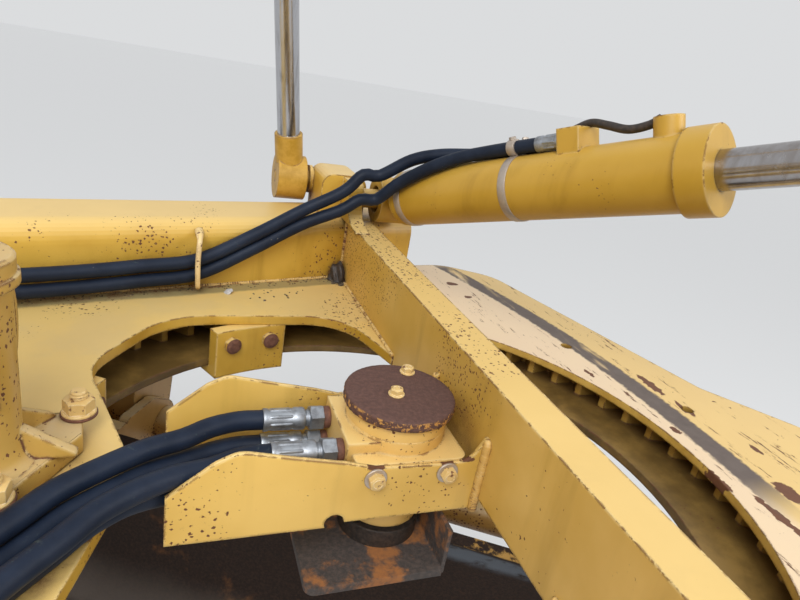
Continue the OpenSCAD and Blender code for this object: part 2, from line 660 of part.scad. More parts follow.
// Moldboard
module blade_arc(r) { translate([blade_cx, blade_mid_z]) circle(r = r, $fn = 96); }
module moldboard() {
  h = blade_h / 2;
  color("saddlebrown") at_circle() plate_xz(-blade_len / 2, blade_len / 2) intersection() {
    difference() {
      blade_arc(blade_r + blade_t);
      blade_arc(blade_r);
    }
    polygon([[blade_cx - 900, blade_mid_z - h], [blade_cx - 200, blade_mid_z - h], [blade_cx - 200, blade_mid_z + h],
      [blade_cx - 900, blade_mid_z + h]]);
  }
}
module rail(z) {
  back = blade_r + blade_t;
  color("goldenrod") at_circle() {
    block([rail_head[0], -rail_half, z - rail_head_h / 2], [rail_head[1], rail_half, z + rail_head_h / 2]);
    plate_xz(-rail_half, rail_half) difference() {
      translate([rail_head[1] - 1, z - rail_web_t / 2]) square([60, rail_web_t]);
      blade_arc(back);
    }
  }
}
module rail_upper() { rail(rail_u); }
module rail_lower() { rail(rail_l); }
foot_x = blade_cx - sqrt(blade_r * blade_r - blade_h * blade_h / 4);
edge_tilt = asin(blade_h / 2 / blade_r) - asin(edge_lap / 2 / blade_r);
module at_foot() { translate([foot_x, 0, blade_mid_z - blade_h / 2]) rotate([0, -edge_tilt, 0]) children(); }
module cutting_edge() {
  color("dimgray") at_circle() at_foot() block([0, -blade_len / 2, edge_lap - edge_h], [edge_t, blade_len / 2, edge_lap]);
}
module end_bits() {
  color("dimgray") at_circle() for (s = [-1, 1]) side(s) at_foot()
    block([edge_t, blade_len / 2 - 180, edge_lap - edge_h - 25], [2 * edge_t, blade_len / 2 + 20, edge_lap + 60]);
}
module side_shift_rod() {
  color("silver") at_circle() {
    rod_y(side_at, side_rod_r, side_inner, side_lug + 20);
    plate_xz(side_lug - 20, side_lug + 20) difference() {
      polygon([[side_at.x - 50, side_at.y - 50], [-240, side_at.y - 70], [-240, side_at.y + 70], [side_at.x - 50, side_at.y + 50]]);
      blade_arc(blade_r + blade_t);
    }
  }
}

// Tip cylinder, from the tongue's lug to the carrier's ears
module at_tip() { translate([tip_base.x, 0, tip_base.y]) rotate([0, tip_tilt, 0]) children(); }
tip_barrel_len = tip_rest - 150;
module tip_barrel() {
  color("goldenrod") at_circle() at_tip() difference() {
    union() {
      rotate([90, 0, 0]) cylinder(h = 70, r = 42, center = true);
      rod_x(30, 30, 90);
      rod_x(tip_d / 2, 86, tip_barrel_len);
      rod_x(tip_d / 2 + 6, tip_barrel_len - 30, tip_barrel_len + 4);
      rotate([90, 0, 0]) cylinder(h = 118, r = 20, center = true);
    }
    rod_x(tip_rod_r + run_fit, 110, tip_barrel_len + 10);
  }
}
module tip_rod() {
  color("silver") at_circle() at_tip() {
    rod_x(tip_rod_r, 140, tip_rest - 30);
    translate([tip_rest, 0, 0]) rotate([90, 0, 0]) cylinder(h = 2 * tip_eye_half, r = 36, center = true);
  }
}

// Lift cylinders
trunnion_shoulder = lift_d / 2 + 23;
// A ball socket about X, open towards the stud
module socket(open) {
  rotate([0, 90, 0]) rotate_extrude() difference() {
    translate([0, -socket_half]) square([socket_r, 2 * socket_half]);
    circle(d = stud_ball_d + 2 * slide_gap);
    translate([-1, open > 0 ? 0 : -socket_half - 1]) square([stud_r + 10, socket_half + 1]);
  }
}
module lift_rod(s) {
  color("goldenrod") at_drawbar() side(s) {
    translate(lift_ball) socket(-1);
    aim(lift_ball, lift_dir) {
      translate([0, 0, 44]) cylinder(h = 70, r = 34);
      translate([0, 0, 70]) cylinder(h = lift_out + 480, r = lift_rod_d / 2);
    }
  }
}
module lift_rod_left() { lift_rod(1); }
module lift_rod_right() { lift_rod(-1); }
module lift_barrel(s) {
  color("goldenrod") at_drawbar() side(s) aim(lift_ball, lift_dir) translate([0, 0, lift_out]) difference() {
    union() {
      cylinder(h = lift_len, r = lift_d / 2);
      cylinder(h = 46, r = lift_d / 2 + 9);
      translate([0, 0, 150]) cylinder(h = 90, r = lift_d / 2 + 14);
      translate([0, 0, 195]) rotate([90, 0, 0]) {
        cylinder(h = 2 * trunnion_shoulder, r = trunnion_r + 10, center = true);
        cylinder(h = 2 * (trunnion_shoulder + trunnion_len), r = trunnion_r, center = true);
      }
    }
    translate([0, 0, -1]) cylinder(h = lift_len - 30, r = lift_rod_d / 2 + run_fit);
  }
}
module lift_barrel_left() { lift_barrel(1); }
module lift_barrel_right() { lift_barrel(-1); }

// Centre-shift cylinder
module centre_shift_barrel() {
  color("goldenrod") at_drawbar() {
    translate(shift_ball) socket(1);
    aim(shift_ball, shift_dir) translate([0, 0, 44]) cylinder(h = 40, r = 36);
    aim(shift_ball, shift_dir) difference() {
      union() {
        translate([0, 0, 68]) cylinder(h = shift_len - 68, r = shift_d / 2);
        translate([0, 0, shift_len - 46]) cylinder(h = 46, r = shift_d / 2 + 8);
        translate([0, 0, 495]) block([-shift_d / 2 - 34, -36, 0], [-40, 36, 44]);
        translate([0, 0, shift_len - 80]) rotate([0, -90, 0]) cylinder(h = shift_d / 2 + 30, r = 24);
      }
      translate([0, 0, 90]) cylinder(h = shift_len, r = shift_rod_d / 2 + run_fit);
    }
  }
}
module centre_shift_rod() {
  color("silver") at_drawbar() aim(shift_ball, shift_dir) {
    translate([0, 0, shift_inner]) cylinder(h = shift_len + shift_out - 30 - shift_inner, r = shift_rod_d / 2);
    translate([0, 0, shift_len + shift_out]) difference() {
      rotate([90, 0, 0]) cylinder(h = 70, r = 58, center = true);
      rotate([90, 0, 0]) cylinder(h = 80, r = 30, center = true);
    }
  }
}

beam_left();
beam_right();
nose();
cross_beam();
yoke_plate();
corner_block_left();
corner_block_right();
circle_shoes();
wear_strips();
drive_housing();
drive_head();
drive_motor();
drive_nuts();
swivel_housing();
swivel_cap();
swivel_bolts();
swivel_guard();
swivel_fittings();
swivel_hoses();
bulkhead_left();
bulkhead_right();
shift_hoses();
hose_staple();
circle_ring();
blade_arm_left();
blade_arm_right();
tip_lug();
swivel_spool();
spool_bracket();
pinion();
carrier_left();
carrier_right();
carrier_tube();
carrier_pins();
side_shift_barrel();
moldboard();
rail_upper();
rail_lower();
cutting_edge();
end_bits();
side_shift_rod();
tip_barrel();
tip_rod();
lift_rod_left();
lift_barrel_left();
lift_rod_right();
lift_barrel_right();
centre_shift_barrel();
barrel_hoses();
centre_shift_rod();
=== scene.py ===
# %% [markdown]
# # The drawbar, circle and blade of a motor grader
# This file dresses a model that is already built to size. The solids give every form that carries a load.
# What is added here is what a welder, a painter and years of weather add: beads, bolts, rust and wear.
# Distances are in metres. The origin is the ball at the drawbar's front end, with X forward, Y left and Z up.

import json
import math
import random

import bmesh
import bpy
from mathutils import Matrix, Vector


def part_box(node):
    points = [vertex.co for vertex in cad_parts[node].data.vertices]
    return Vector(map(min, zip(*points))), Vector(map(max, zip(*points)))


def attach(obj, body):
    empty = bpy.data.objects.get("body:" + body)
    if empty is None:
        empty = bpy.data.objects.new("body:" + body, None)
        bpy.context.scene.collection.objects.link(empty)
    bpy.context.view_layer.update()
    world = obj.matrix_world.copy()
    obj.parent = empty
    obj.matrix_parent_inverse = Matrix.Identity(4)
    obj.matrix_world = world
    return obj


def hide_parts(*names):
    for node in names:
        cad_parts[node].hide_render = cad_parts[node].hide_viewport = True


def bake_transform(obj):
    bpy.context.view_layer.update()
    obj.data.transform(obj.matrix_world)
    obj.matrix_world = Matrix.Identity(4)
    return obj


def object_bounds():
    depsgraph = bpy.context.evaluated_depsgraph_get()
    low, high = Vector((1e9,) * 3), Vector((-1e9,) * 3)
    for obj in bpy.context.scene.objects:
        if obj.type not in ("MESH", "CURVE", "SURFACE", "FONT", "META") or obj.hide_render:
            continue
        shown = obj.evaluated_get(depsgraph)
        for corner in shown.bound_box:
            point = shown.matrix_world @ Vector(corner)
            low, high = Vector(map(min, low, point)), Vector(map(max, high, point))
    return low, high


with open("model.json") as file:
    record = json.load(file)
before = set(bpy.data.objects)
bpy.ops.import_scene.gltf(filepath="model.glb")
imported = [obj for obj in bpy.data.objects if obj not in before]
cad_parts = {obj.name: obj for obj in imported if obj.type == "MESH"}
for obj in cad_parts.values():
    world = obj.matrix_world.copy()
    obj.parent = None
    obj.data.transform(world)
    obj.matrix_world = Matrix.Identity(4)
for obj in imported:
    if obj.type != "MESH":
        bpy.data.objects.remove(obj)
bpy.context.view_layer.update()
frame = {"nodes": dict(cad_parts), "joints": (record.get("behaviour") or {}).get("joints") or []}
NODES = frame["nodes"]

# %% [markdown]
# ## Places
# Most sizes on this machine are given from the circle's centre, with zero height on the circle's top face.
# One small function turns such a place, in millimetres, into a point of the scene.

# %% Places
CIRCLE_X = frame["joints"][0]["pos_m"][0]
CIRCLE_Z = frame["joints"][0]["pos_m"][2]
PLATE_TOP = 28
GUARD_OUT = 88


def at(x, y, z):
    return Vector((CIRCLE_X + x / 1000, y / 1000, CIRCLE_Z + z / 1000))


print("circle centre:", tuple(round(v, 3) for v in at(0, 0, 0)))

# %% [markdown]
# ## Camera
# The camera leans over the left beam and looks back and down at the hydraulic swivel.
# A camera is three directions and a focal length: where it looks, what is right and what is up.
# The lens is wide, so the near beam grows large and the far one shrinks.

# %% Camera
CAMERA_AT = at(301.8, 649.1, 531.3)
CAMERA_YAW = math.radians(-113.12)
CAMERA_PITCH = math.radians(21.13)
CAMERA_ROLL = math.radians(10.22)
FOCAL_PIXELS = 596.5
PICTURE_WIDTH = 800
SENSOR_WIDTH = 36
NEAREST_SEEN = 0.02


def aim_camera():
    data = bpy.data.cameras.new("camera")
    data.sensor_width = SENSOR_WIDTH
    data.lens = FOCAL_PIXELS / PICTURE_WIDTH * SENSOR_WIDTH
    data.clip_start = NEAREST_SEEN
    camera = bpy.data.objects.new("camera", data)
    bpy.context.scene.collection.objects.link(camera)
    look = Vector((math.cos(CAMERA_PITCH) * math.cos(CAMERA_YAW),
                   math.cos(CAMERA_PITCH) * math.sin(CAMERA_YAW), -math.sin(CAMERA_PITCH)))
    right = look.cross(Vector((0, 0, 1))).normalized()
    up = right.cross(look)
    turned_right = math.cos(CAMERA_ROLL) * right + math.sin(CAMERA_ROLL) * up
    turned_up = -math.sin(CAMERA_ROLL) * right + math.cos(CAMERA_ROLL) * up
    turn = Matrix((turned_right, turned_up, -look)).transposed().to_4x4()
    camera.matrix_world = Matrix.Translation(CAMERA_AT) @ turn
    bpy.context.scene.camera = camera
    return camera


camera = aim_camera()
print("lens", round(camera.data.lens, 2), "mm")

# %% [markdown]
# ## How a finish is mixed
# Old paint is not one colour. It is a coat, faded above and dirty below, with rust that starts in specks,
# grows along edges and stays in corners. Each of those is a mask from zero to one, and a finish is a stack:
# the coat first, then each mask lets another colour through. This small class writes such stacks.
# Patterns read Object coordinates, which are metres here, so a scale is a number of cells in a metre.

# %% A class for layered finishes
class Finish:
    def __init__(self, name, roughness=0.5, metallic=0.0):
        self.material = bpy.data.materials.new(name)
        self.material.use_nodes = True
        self.nodes = self.material.node_tree.nodes
        self.links = self.material.node_tree.links
        self.shader = self.nodes["Principled BSDF"]
        self.shader.inputs["Roughness"].default_value = roughness
        self.shader.inputs["Metallic"].default_value = metallic
        self.place = self.nodes.new("ShaderNodeTexCoord").outputs["Object"]

    def put(self, socket, value):
        if isinstance(value, bpy.types.NodeSocket):
            self.links.new(value, socket)
        elif isinstance(value, (tuple, list)) and len(value) == 3 and socket.type == "RGBA":
            socket.default_value = (*value, 1)
        else:
            socket.default_value = value

    def node(self, kind, given, **settings):
        """Adds a node, sets it up, puts each given value or link on its input and returns its outputs."""
        node = self.nodes.new("ShaderNode" + kind)
        for name, value in settings.items():
            setattr(node, name, value)
        for name, value in given.items():
            self.put(node.inputs[name], value)
        return node.outputs

    def math(self, operation, a, b=0.0, clamp=False):
        return self.node("Math", {0: a, 1: b}, operation=operation, use_clamp=clamp)[0]

    def times(self, first, *others):
        for other in others:
            first = self.math("MULTIPLY", first, other)
        return first

    def most(self, first, *others):
        for other in others:
            first = self.math("MAXIMUM", first, other)
        return first

    def plus(self, a, b, clamp=False):
        return self.math("ADD", a, b, clamp)

    def minus(self, a, b):
        return self.math("SUBTRACT", a, b)

    def rest(self, a, clamp=False):
        """What a mask leaves out."""
        return self.math("SUBTRACT", 1.0, a, clamp)

    def vector(self, operation, *values):
        return self.node("VectorMath", dict(enumerate(values)), operation=operation)

    def stretched(self, scale, move=(0, 0, 0)):
        return self.node("Mapping", {"Scale": scale, "Location": move, "Vector": self.place})[0]

    def noise(self, scale, detail=4.0, rough=0.55, warp=0.0, place=None):
        return self.node("TexNoise", {"Vector": place or self.place, "Scale": scale, "Detail": detail,
                                      "Roughness": rough, "Distortion": warp})["Fac"]

    def shaken(self, scale, reach):
        """The place pushed about by a noise, so that what is drawn there has a ragged edge."""
        push = self.node("TexNoise", {"Vector": self.place, "Scale": scale, "Detail": 4})["Color"]
        return self.vector("MULTIPLY_ADD", push, (reach, reach, reach), self.place)[0]

    def mask(self, value, low, high):
        return self.node("MapRange", {"Value": value, "From Min": low, "From Max": high},
                         interpolation_type="SMOOTHSTEP")["Result"]

    def patches(self, low, high, scale, *noise):
        """A noise cut into patches: none below low and full above high."""
        return self.mask(self.noise(scale, *noise), low, high)

    def between(self, value, low, low_full, high_full, high):
        """A band with a soft edge on each side."""
        return self.times(self.mask(value, low, low_full), self.rest(self.mask(value, high_full, high)))

    def blend(self, under, over, amount):
        return self.node("Mix", {"Factor": amount, "A": under, "B": over}, data_type="RGBA")["Result"]

    def axis(self, name):
        return self.node("SeparateXYZ", {0: self.place})[name]

    def facing_up(self):
        return self.node("SeparateXYZ", {0: self.node("NewGeometry", {})["Normal"]})["Z"]

    def edges(self, width):
        self.rounded = self.node("Bevel", {"Radius": width}, samples=4)["Normal"]
        flat = self.node("NewGeometry", {})["Normal"]
        return self.rest(self.vector("DOT_PRODUCT", self.rounded, flat)["Value"], clamp=True)

    def corners(self, reach):
        return self.rest(self.node("AmbientOcclusion", {"Distance": reach}, samples=6)["AO"], clamp=True)

    def specks(self, scale, size, crowd_scale, crowd_low, crowd_high):
        """One flake in each cell, as large as chance and the crowd there allow."""
        place = self.shaken(scale * 1.7, 1.1 / scale)
        cells = self.node("TexVoronoi", {"Vector": place, "Scale": scale})
        crowd = self.patches(crowd_low, crowd_high, crowd_scale, 3)
        chance = self.node("SeparateColor", {0: cells["Color"]})[0]
        radius = self.times(crowd, chance, size * 1.5)
        return self.mask(self.minus(radius, cells["Distance"]), 0.0, size * 0.25)

    def marks(self, spots, raggedness=0.012):
        """Ragged marks at places, each a point and its reach along X, Y and Z in metres."""
        place = self.shaken(70, raggedness)
        found = 0.0
        for point, reach in spots:
            middle = point + Vector((0.5, 0.5, 0.5)) * raggedness
            away = self.vector("DIVIDE", self.vector("SUBTRACT", place, middle)[0], reach)[0]
            found = self.most(self.rest(self.mask(self.vector("LENGTH", away)["Value"], 0.85, 1.0)), found)
        return found

    def colour(self, value):
        self.put(self.shader.inputs["Base Color"], value)

    def rough(self, value):
        self.put(self.shader.inputs["Roughness"], value)

    def bump(self, height, distance, strength=1.0, normal=None):
        given = {"Strength": strength, "Distance": distance, "Height": height}
        if normal is not None:
            given["Normal"] = normal
        self.put(self.shader.inputs["Normal"], self.node("Bump", given)["Normal"])


RUST_DARK = (0.085, 0.030, 0.014)
RUST_BROWN = (0.19, 0.075, 0.032)
RUST_ORANGE = (0.42, 0.17, 0.045)
DUST = (0.42, 0.37, 0.29)
print("rust and dirt colours ready")

# %% [markdown]
# ## Floor and light
# The part hangs by its ball, so a pale floor lies just under the cutting edge.
# Daylight under a thin cloud is one very large soft source, which the world gives, and a broad lamp
# overhead adds the soft shadows under the plate. The floor looks pale, but it throws back less light than
# its colour would, as dark ground does, so the undersides stay deep.

# %% Floor and light
FLOOR_GAP = 0.004
FLOOR_HALF = 40
FLOOR_GLOW = 0.43
FLOOR_SEEN = (0.34, 0.34, 0.335)
FLOOR_UNSEEN = (0.36, 0.35, 0.33)
SKY_SEEN = (0.71, 0.72, 0.73, 1)
SKY_UNSEEN = (0.93, 0.96, 1.0, 1)
SKY_STRENGTH = 0.62
LAMPS = [("overhead", at(1300, 2300, 2700), at(0, 0, 0), 2.6, 138),
         ("side", at(-2600, 1500, 1800), at(-200, -300, 0), 2.0, 45)]


def seen_rays(nodes, links):
    """One for rays that show a surface, straight or in a mirror, and zero for rays that light others."""
    path = nodes.new("ShaderNodeLightPath")
    seen = path.outputs["Is Camera Ray"]
    for name in ("Is Glossy Ray", "Is Transmission Ray"):
        either = nodes.new("ShaderNodeMath")
        either.operation = "MAXIMUM"
        links.new(seen, either.inputs[0])
        links.new(path.outputs[name], either.inputs[1])
        seen = either.outputs[0]
    return seen


def add_floor(low):
    mesh = bpy.data.meshes.new("floor")
    corners = [(x * FLOOR_HALF, y * FLOOR_HALF, low) for x, y in ((-1, -1), (1, -1), (1, 1), (-1, 1))]
    mesh.from_pydata(corners, [], [(0, 1, 2, 3)])
    floor = bpy.data.objects.new("floor", mesh)
    bpy.context.scene.collection.objects.link(floor)
    f = Finish("floor_grey", 0.9)
    seen = seen_rays(f.nodes, f.links)
    f.colour(f.blend(FLOOR_UNSEEN, FLOOR_SEEN, seen))
    f.shader.inputs["Emission Color"].default_value = (0.98, 0.99, 1.0, 1)
    f.put(f.shader.inputs["Emission Strength"], f.times(seen, FLOOR_GLOW))
    mesh.materials.append(f.material)


def add_lamp(name, place, target, size, watts):
    data = bpy.data.lights.new(name, "AREA")
    data.shape = "DISK"
    data.size = size
    data.energy = watts
    lamp = bpy.data.objects.new(name, data)
    lamp.location = place
    lamp.rotation_euler = (Vector(target) - Vector(place)).to_track_quat("-Z", "Y").to_euler()
    bpy.context.scene.collection.objects.link(lamp)


def light_world():
    world = bpy.data.worlds.new("sky")
    bpy.context.scene.world = world
    world.use_nodes = True
    nodes, links = world.node_tree.nodes, world.node_tree.links
    nodes.clear()
    mix = nodes.new("ShaderNodeMixShader")
    links.new(seen_rays(nodes, links), mix.inputs[0])
    for k, (colour, strength) in enumerate(((SKY_UNSEEN, SKY_STRENGTH), (SKY_SEEN, 1.0))):
        sky = nodes.new("ShaderNodeBackground")
        sky.inputs["Color"].default_value = colour
        sky.inputs["Strength"].default_value = strength
        links.new(sky.outputs[0], mix.inputs[k + 1])
    out = nodes.new("ShaderNodeOutputWorld")
    links.new(mix.outputs[0], out.inputs["Surface"])


floor_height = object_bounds()[0][2] - FLOOR_GAP
add_floor(floor_height)
for lamp in LAMPS:
    add_lamp(*lamp)
light_world()
bpy.context.scene.view_settings.view_transform = "Standard"
print("floor at", round(floor_height, 3))

# %% [markdown]
# ## Machine paint
# The golden paint covers most of the pieces. It is deep ochre with paler patches. Faces that look up are
# painted paler, which is painted light from above, and inside corners are painted darker, which is painted
# shade. Rust shows as small brown specks in crowds, as chips along edges and as a stain in the inside
# corners.
# One recipe serves every painted piece, with the amounts as parameters. The plate also has a dark strip of
# dirt along the foot of each beam, and the guard has a few marks of its own.

# %% The strip of dirt along the beams
WEB_OUT, WEB_START, WEB_TAPER = 0.690, -0.100, 0.27357
STRIP_BAND = (-0.052, -0.040, 0.0, 0.004)
SEAM_BAND = (-0.020, -0.014, -0.008, 0.0)
STRIP_WAVER = 0.016


def web_strip(f):
    """The dirt beside the webs and the rust at their foot, both measured inwards from the web's line."""
    along = f.times(f.plus(f.axis("X"), -CIRCLE_X - WEB_START), WEB_TAPER)
    off = f.plus(f.math("ABSOLUTE", f.axis("Y")), f.minus(along, WEB_OUT))
    off = f.plus(off, f.times(f.minus(f.noise(26, 5, 0.7), 0.5), STRIP_WAVER))
    seam = f.times(f.between(off, *SEAM_BAND), f.patches(0.50, 0.60, 60, 5, 0.7))
    return f.between(off, *STRIP_BAND), seam


print("the strip is", STRIP_BAND[2] - STRIP_BAND[0], "m wide")

# %% Machine paint
# The first colour below is painted light: paler paint for faces that look up, in place of light from above.
LIT_TOP_PALE = (0.80, 0.57, 0.22)
EDGE_PALE = (0.84, 0.66, 0.33)
WEB_DIRT = (0.21, 0.19, 0.10)
RUN_SHADE, CORNER_SHADE = 0.72, 0.55


def painted(name, deep, pale, speckle=1.0, stain=1.0, wear=1.0, dust=0.0, webs=False, lit_top=LIT_TOP_PALE, spots=()):
    f = Finish(name)
    coat = f.blend(deep, pale, f.patches(0.36, 0.66, 2.2, 5, 0.6))
    run = f.noise(1.0, 4, 0.6, place=f.stretched((14, 14, 1.6)))
    coat = f.blend(coat, tuple(v * RUN_SHADE for v in deep), f.times(f.mask(run, 0.52, 0.74), 0.45))
    up = f.mask(f.facing_up(), 0.3, 0.95)
    # Faces that look up are painted paler here: painted light from above.
    coat = f.blend(coat, lit_top, f.times(up, 0.75))
    fine = f.specks(150, 0.32 * speckle, 4.0, 0.43, 0.64)
    large = f.specks(72, 0.12 * speckle, 2.6, 0.50, 0.72)
    edge = f.edges(0.006)
    ragged = f.noise(38, 6, 0.7)
    least = 0.60 - 0.12 * wear
    chips = f.mask(f.times(edge, f.mask(ragged, least, least + 0.12)), 0.02, 0.09)
    corner = f.corners(0.05)
    seep = f.times(f.mask(corner, 0.45, 0.95), f.patches(0.40, 0.62, 24, 6, 0.7), stain)
    coat = f.blend(coat, EDGE_PALE, f.times(f.mask(edge, 0.02, 0.2), 0.55))
    coat = f.blend(coat, tuple(v * CORNER_SHADE for v in deep), f.times(f.mask(corner, 0.35, 0.9), 0.6))
    if dust:
        coat = f.blend(coat, DUST, f.times(f.patches(0.42, 0.62, 5, 6, 0.65), dust, up))
    if webs:
        strip, seam = web_strip(f)
        coat = f.blend(coat, WEB_DIRT, f.times(strip, up, 0.75))
        seep = f.most(seep, f.times(seam, up))
    hurt = f.most(fine, large, chips, seep)
    if spots:
        hurt = f.most(hurt, f.marks(spots))
    f.colour(f.blend(coat, f.blend(RUST_DARK, RUST_BROWN, ragged), hurt))
    f.rough(f.plus(0.40, f.times(hurt, 0.4), clamp=True))
    orange_peel = f.noise(260, 2, 0.5)
    f.bump(f.minus(f.times(orange_peel, 0.12), f.times(hurt, 0.6)), 0.0012, 0.6, f.rounded)
    return f.material


YELLOW_DEEP = (0.44, 0.240, 0.019)
YELLOW_PALE = (0.66, 0.41, 0.065)
GUARD_RUST = [(at(52, GUARD_OUT, 70), (0.012, 0.02, 0.007)), (at(-47, GUARD_OUT, 68), (0.012, 0.02, 0.007)),
              (at(-74, GUARD_OUT, 69), (0.011, 0.02, 0.004))]
# Each paint's colour for faces that look up is painted light from above.
frame_paint = painted("frame_paint", YELLOW_DEEP, YELLOW_PALE)
# The cross beam's paint is a lighter copy of the frame's yellow: painted light on the cross beam. Its extra
# wear and stain are real.
cross_beam_lit_paint = painted("cross_beam_lit_paint", (0.56, 0.33, 0.055), (0.72, 0.47, 0.14), wear=1.3, stain=1.2)
plate_paint = painted("plate_paint", YELLOW_DEEP, YELLOW_PALE, speckle=1.05, stain=1.2, dust=0.14, webs=True,
                      lit_top=(0.83, 0.60, 0.23))
case_paint = painted("case_paint", (0.48, 0.28, 0.050), (0.60, 0.39, 0.11), speckle=0.9, wear=1.3, dust=0.4,
                     lit_top=(0.68, 0.48, 0.19))
swivel_paint = painted("swivel_paint", (0.64, 0.38, 0.085), (0.78, 0.53, 0.19), speckle=0.8, wear=0.7)
guard_paint = painted("guard_paint", (0.62, 0.38, 0.070), (0.76, 0.50, 0.13), speckle=0.85, spots=GUARD_RUST)
cylinder_paint = painted("cylinder_paint", (0.47, 0.265, 0.020), (0.56, 0.33, 0.040), lit_top=(0.62, 0.38, 0.07),
                         speckle=0.7, stain=0.7, wear=0.6)
blade_paint = painted("blade_paint", (0.40, 0.21, 0.05), (0.56, 0.33, 0.10), speckle=1.3, stain=1.2, wear=1.3,
                      dust=0.5)
staple_paint = painted("staple_paint", (0.66, 0.44, 0.16), (0.80, 0.62, 0.34), speckle=1.6, wear=1.6)
bead_paint = painted("bead_paint", (0.56, 0.32, 0.07), (0.70, 0.44, 0.13), speckle=1.5, stain=1.5)
print("paints made, from", frame_paint.name, "to", bead_paint.name)

# %% [markdown]
# ## The circle's own finish
# The circle's deck is rubbed pale inside a long dark streak, where something has dragged across it, and is
# yellow outside. Specks, scratches and ten ragged marks of rust lie on it. Below the deck the teeth are
# yellow, and the lip under them is dark with dirt. The streak is a bowed line, so its distance is simple
# arithmetic on the place.

# %% The circle's finish
STREAK_X = CIRCLE_X - 0.612
STREAK_BOW = 0.213
STREAK_Y = -0.06
STREAK_WIDTH = 0.030
DECK_UNDER = CIRCLE_Z - 0.008
LIP_TOP = CIRCLE_Z - 0.057
MARK_DEPTH = 0.03
DECK_RUST = [(at(x, y, 0), (wide, long, MARK_DEPTH)) for x, y, wide, long in (
    (-657, -187, 0.012, 0.045), (-662, -95, 0.009, 0.032), (-646, 150, 0.02, 0.028),
    (-571, 194, 0.009, 0.055), (-576, -32, 0.009, 0.01), (-540, 95, 0.008, 0.045), (-437, -739, 0.018, 0.012),
    (-443, -647, 0.012, 0.01), (-537, -243, 0.006, 0.02), (-700, 40, 0.006, 0.016))]
TEETH_DEEP, TEETH_PALE = (0.46, 0.27, 0.045), (0.62, 0.40, 0.085)
LIP_DEEP, LIP_PALE = (0.085, 0.052, 0.018), (0.20, 0.12, 0.035)
DECK_YELLOW = (0.76, 0.53, 0.21)
RUBBED_DEEP, RUBBED_PALE = (0.74, 0.56, 0.40), (0.80, 0.63, 0.40)
STREAK_DEEP, STREAK_PALE = (0.085, 0.062, 0.052), (0.16, 0.125, 0.105)
DECK_SHADE = (0.10, 0.055, 0.02)


def circle_finish():
    f = Finish("circle_paint")
    x, y, z = f.axis("X"), f.axis("Y"), f.axis("Z")
    away = f.plus(y, -STREAK_Y)
    line = f.plus(f.times(away, away, STREAK_BOW), STREAK_X)
    ragged = f.noise(60, 6, 0.7)
    side = f.plus(f.minus(x, line), f.times(f.minus(ragged, 0.5), 0.02))
    on_line = f.rest(f.mask(f.math("ABSOLUTE", side), STREAK_WIDTH * 0.72, STREAK_WIDTH))
    length = f.between(y, -0.92, -0.86, 0.10, 0.22)
    broken = f.mask(f.noise(9, 5, 0.6, place=f.stretched((1, 0.25, 1))), 0.33, 0.45)
    up = f.times(f.mask(f.facing_up(), 0.5, 0.9), f.mask(z, DECK_UNDER, DECK_UNDER + 0.004))
    streak = f.times(on_line, length, broken, up)
    inner = f.times(f.mask(side, -0.01, 0.03), up)
    cloudy = f.patches(0.36, 0.66, 11, 6, 0.65)
    lip, teeth = f.blend(LIP_DEEP, LIP_PALE, cloudy), f.blend(TEETH_DEEP, TEETH_PALE, cloudy)
    coat = f.blend(lip, teeth, f.mask(z, LIP_TOP - 0.001, LIP_TOP + 0.004))
    coat = f.blend(coat, DECK_YELLOW, f.times(up, 0.9))
    rubbed = f.blend(RUBBED_DEEP, RUBBED_PALE, f.noise(7, 6, 0.6))
    coat = f.blend(coat, rubbed, f.times(inner, 0.9))
    fine = f.specks(130, 0.28, 5.0, 0.50, 0.70)
    large = f.specks(44, 0.25, 2.4, 0.47, 0.64)
    scratch = f.mask(f.noise(1.0, 6, 0.75, place=f.stretched((55, 9, 9), (0.3, 0.1, 0))), 0.59, 0.65)
    chips = f.mask(f.times(f.edges(0.006), f.mask(ragged, 0.44, 0.58)), 0.02, 0.09)
    hurt = f.most(fine, large, chips, f.times(scratch, up), f.marks(DECK_RUST, 0.02))
    coat = f.blend(coat, f.blend(RUST_DARK, RUST_BROWN, ragged), hurt)
    coat = f.blend(coat, f.blend(STREAK_DEEP, STREAK_PALE, f.noise(40, 5, 0.6)), streak)
    f.colour(f.blend(coat, DECK_SHADE, f.times(f.mask(f.corners(0.06), 0.4, 0.95), 0.8)))
    f.rough(f.plus(0.42, f.times(f.most(hurt, streak), 0.2)))
    f.bump(f.minus(0.0, f.most(hurt, f.times(streak, 0.5))), 0.001, 0.6, f.rounded)
    return f.material


circle_paint = circle_finish()
print("rust marks on the deck:", len(DECK_RUST))

# %% [markdown]
# ## Bare and worn metals
# The swivel's cap has lost all its paint. The blade is polished blue-grey by the soil near its top edge and
# is brown elsewhere. The rods are chrome, and the lift rods' ends are painted. The hose ends are plated.

# %% Rusty, greasy and worn metals
def rusty(name, dark, light, orange_low, orange_high, scale=9.0, roughness=0.75):
    f = Finish(name)
    grain = f.noise(160, 6, 0.7)
    broad = f.noise(scale, 6, 0.65)
    base = f.blend(dark, light, f.mask(grain, 0.35, 0.7))
    f.edge_mask = f.edges(0.003)
    bloom = f.mask(broad, orange_low, orange_high)
    f.base = f.blend(base, f.blend(RUST_BROWN, RUST_ORANGE, grain), bloom)
    f.colour(f.base)
    f.rough(f.plus(roughness - 0.1, f.times(grain, 0.2)))
    f.bump(f.plus(grain, f.times(broad, 2.0)), 0.0012, 0.5, f.rounded)
    return f


def cap_finish():
    f = rusty("cap_rust", (0.075, 0.034, 0.026), (0.125, 0.060, 0.045), 0.66, 0.80)
    low = f.rest(f.mask(f.facing_up(), 0.2, 0.8))
    rim = f.most(f.mask(f.edge_mask, 0.06, 0.25), low)
    flakes = f.times(f.patches(0.51, 0.57, 120, 5, 0.7), rim)
    f.colour(f.blend(f.base, (0.50, 0.25, 0.06), flakes))
    return f.material


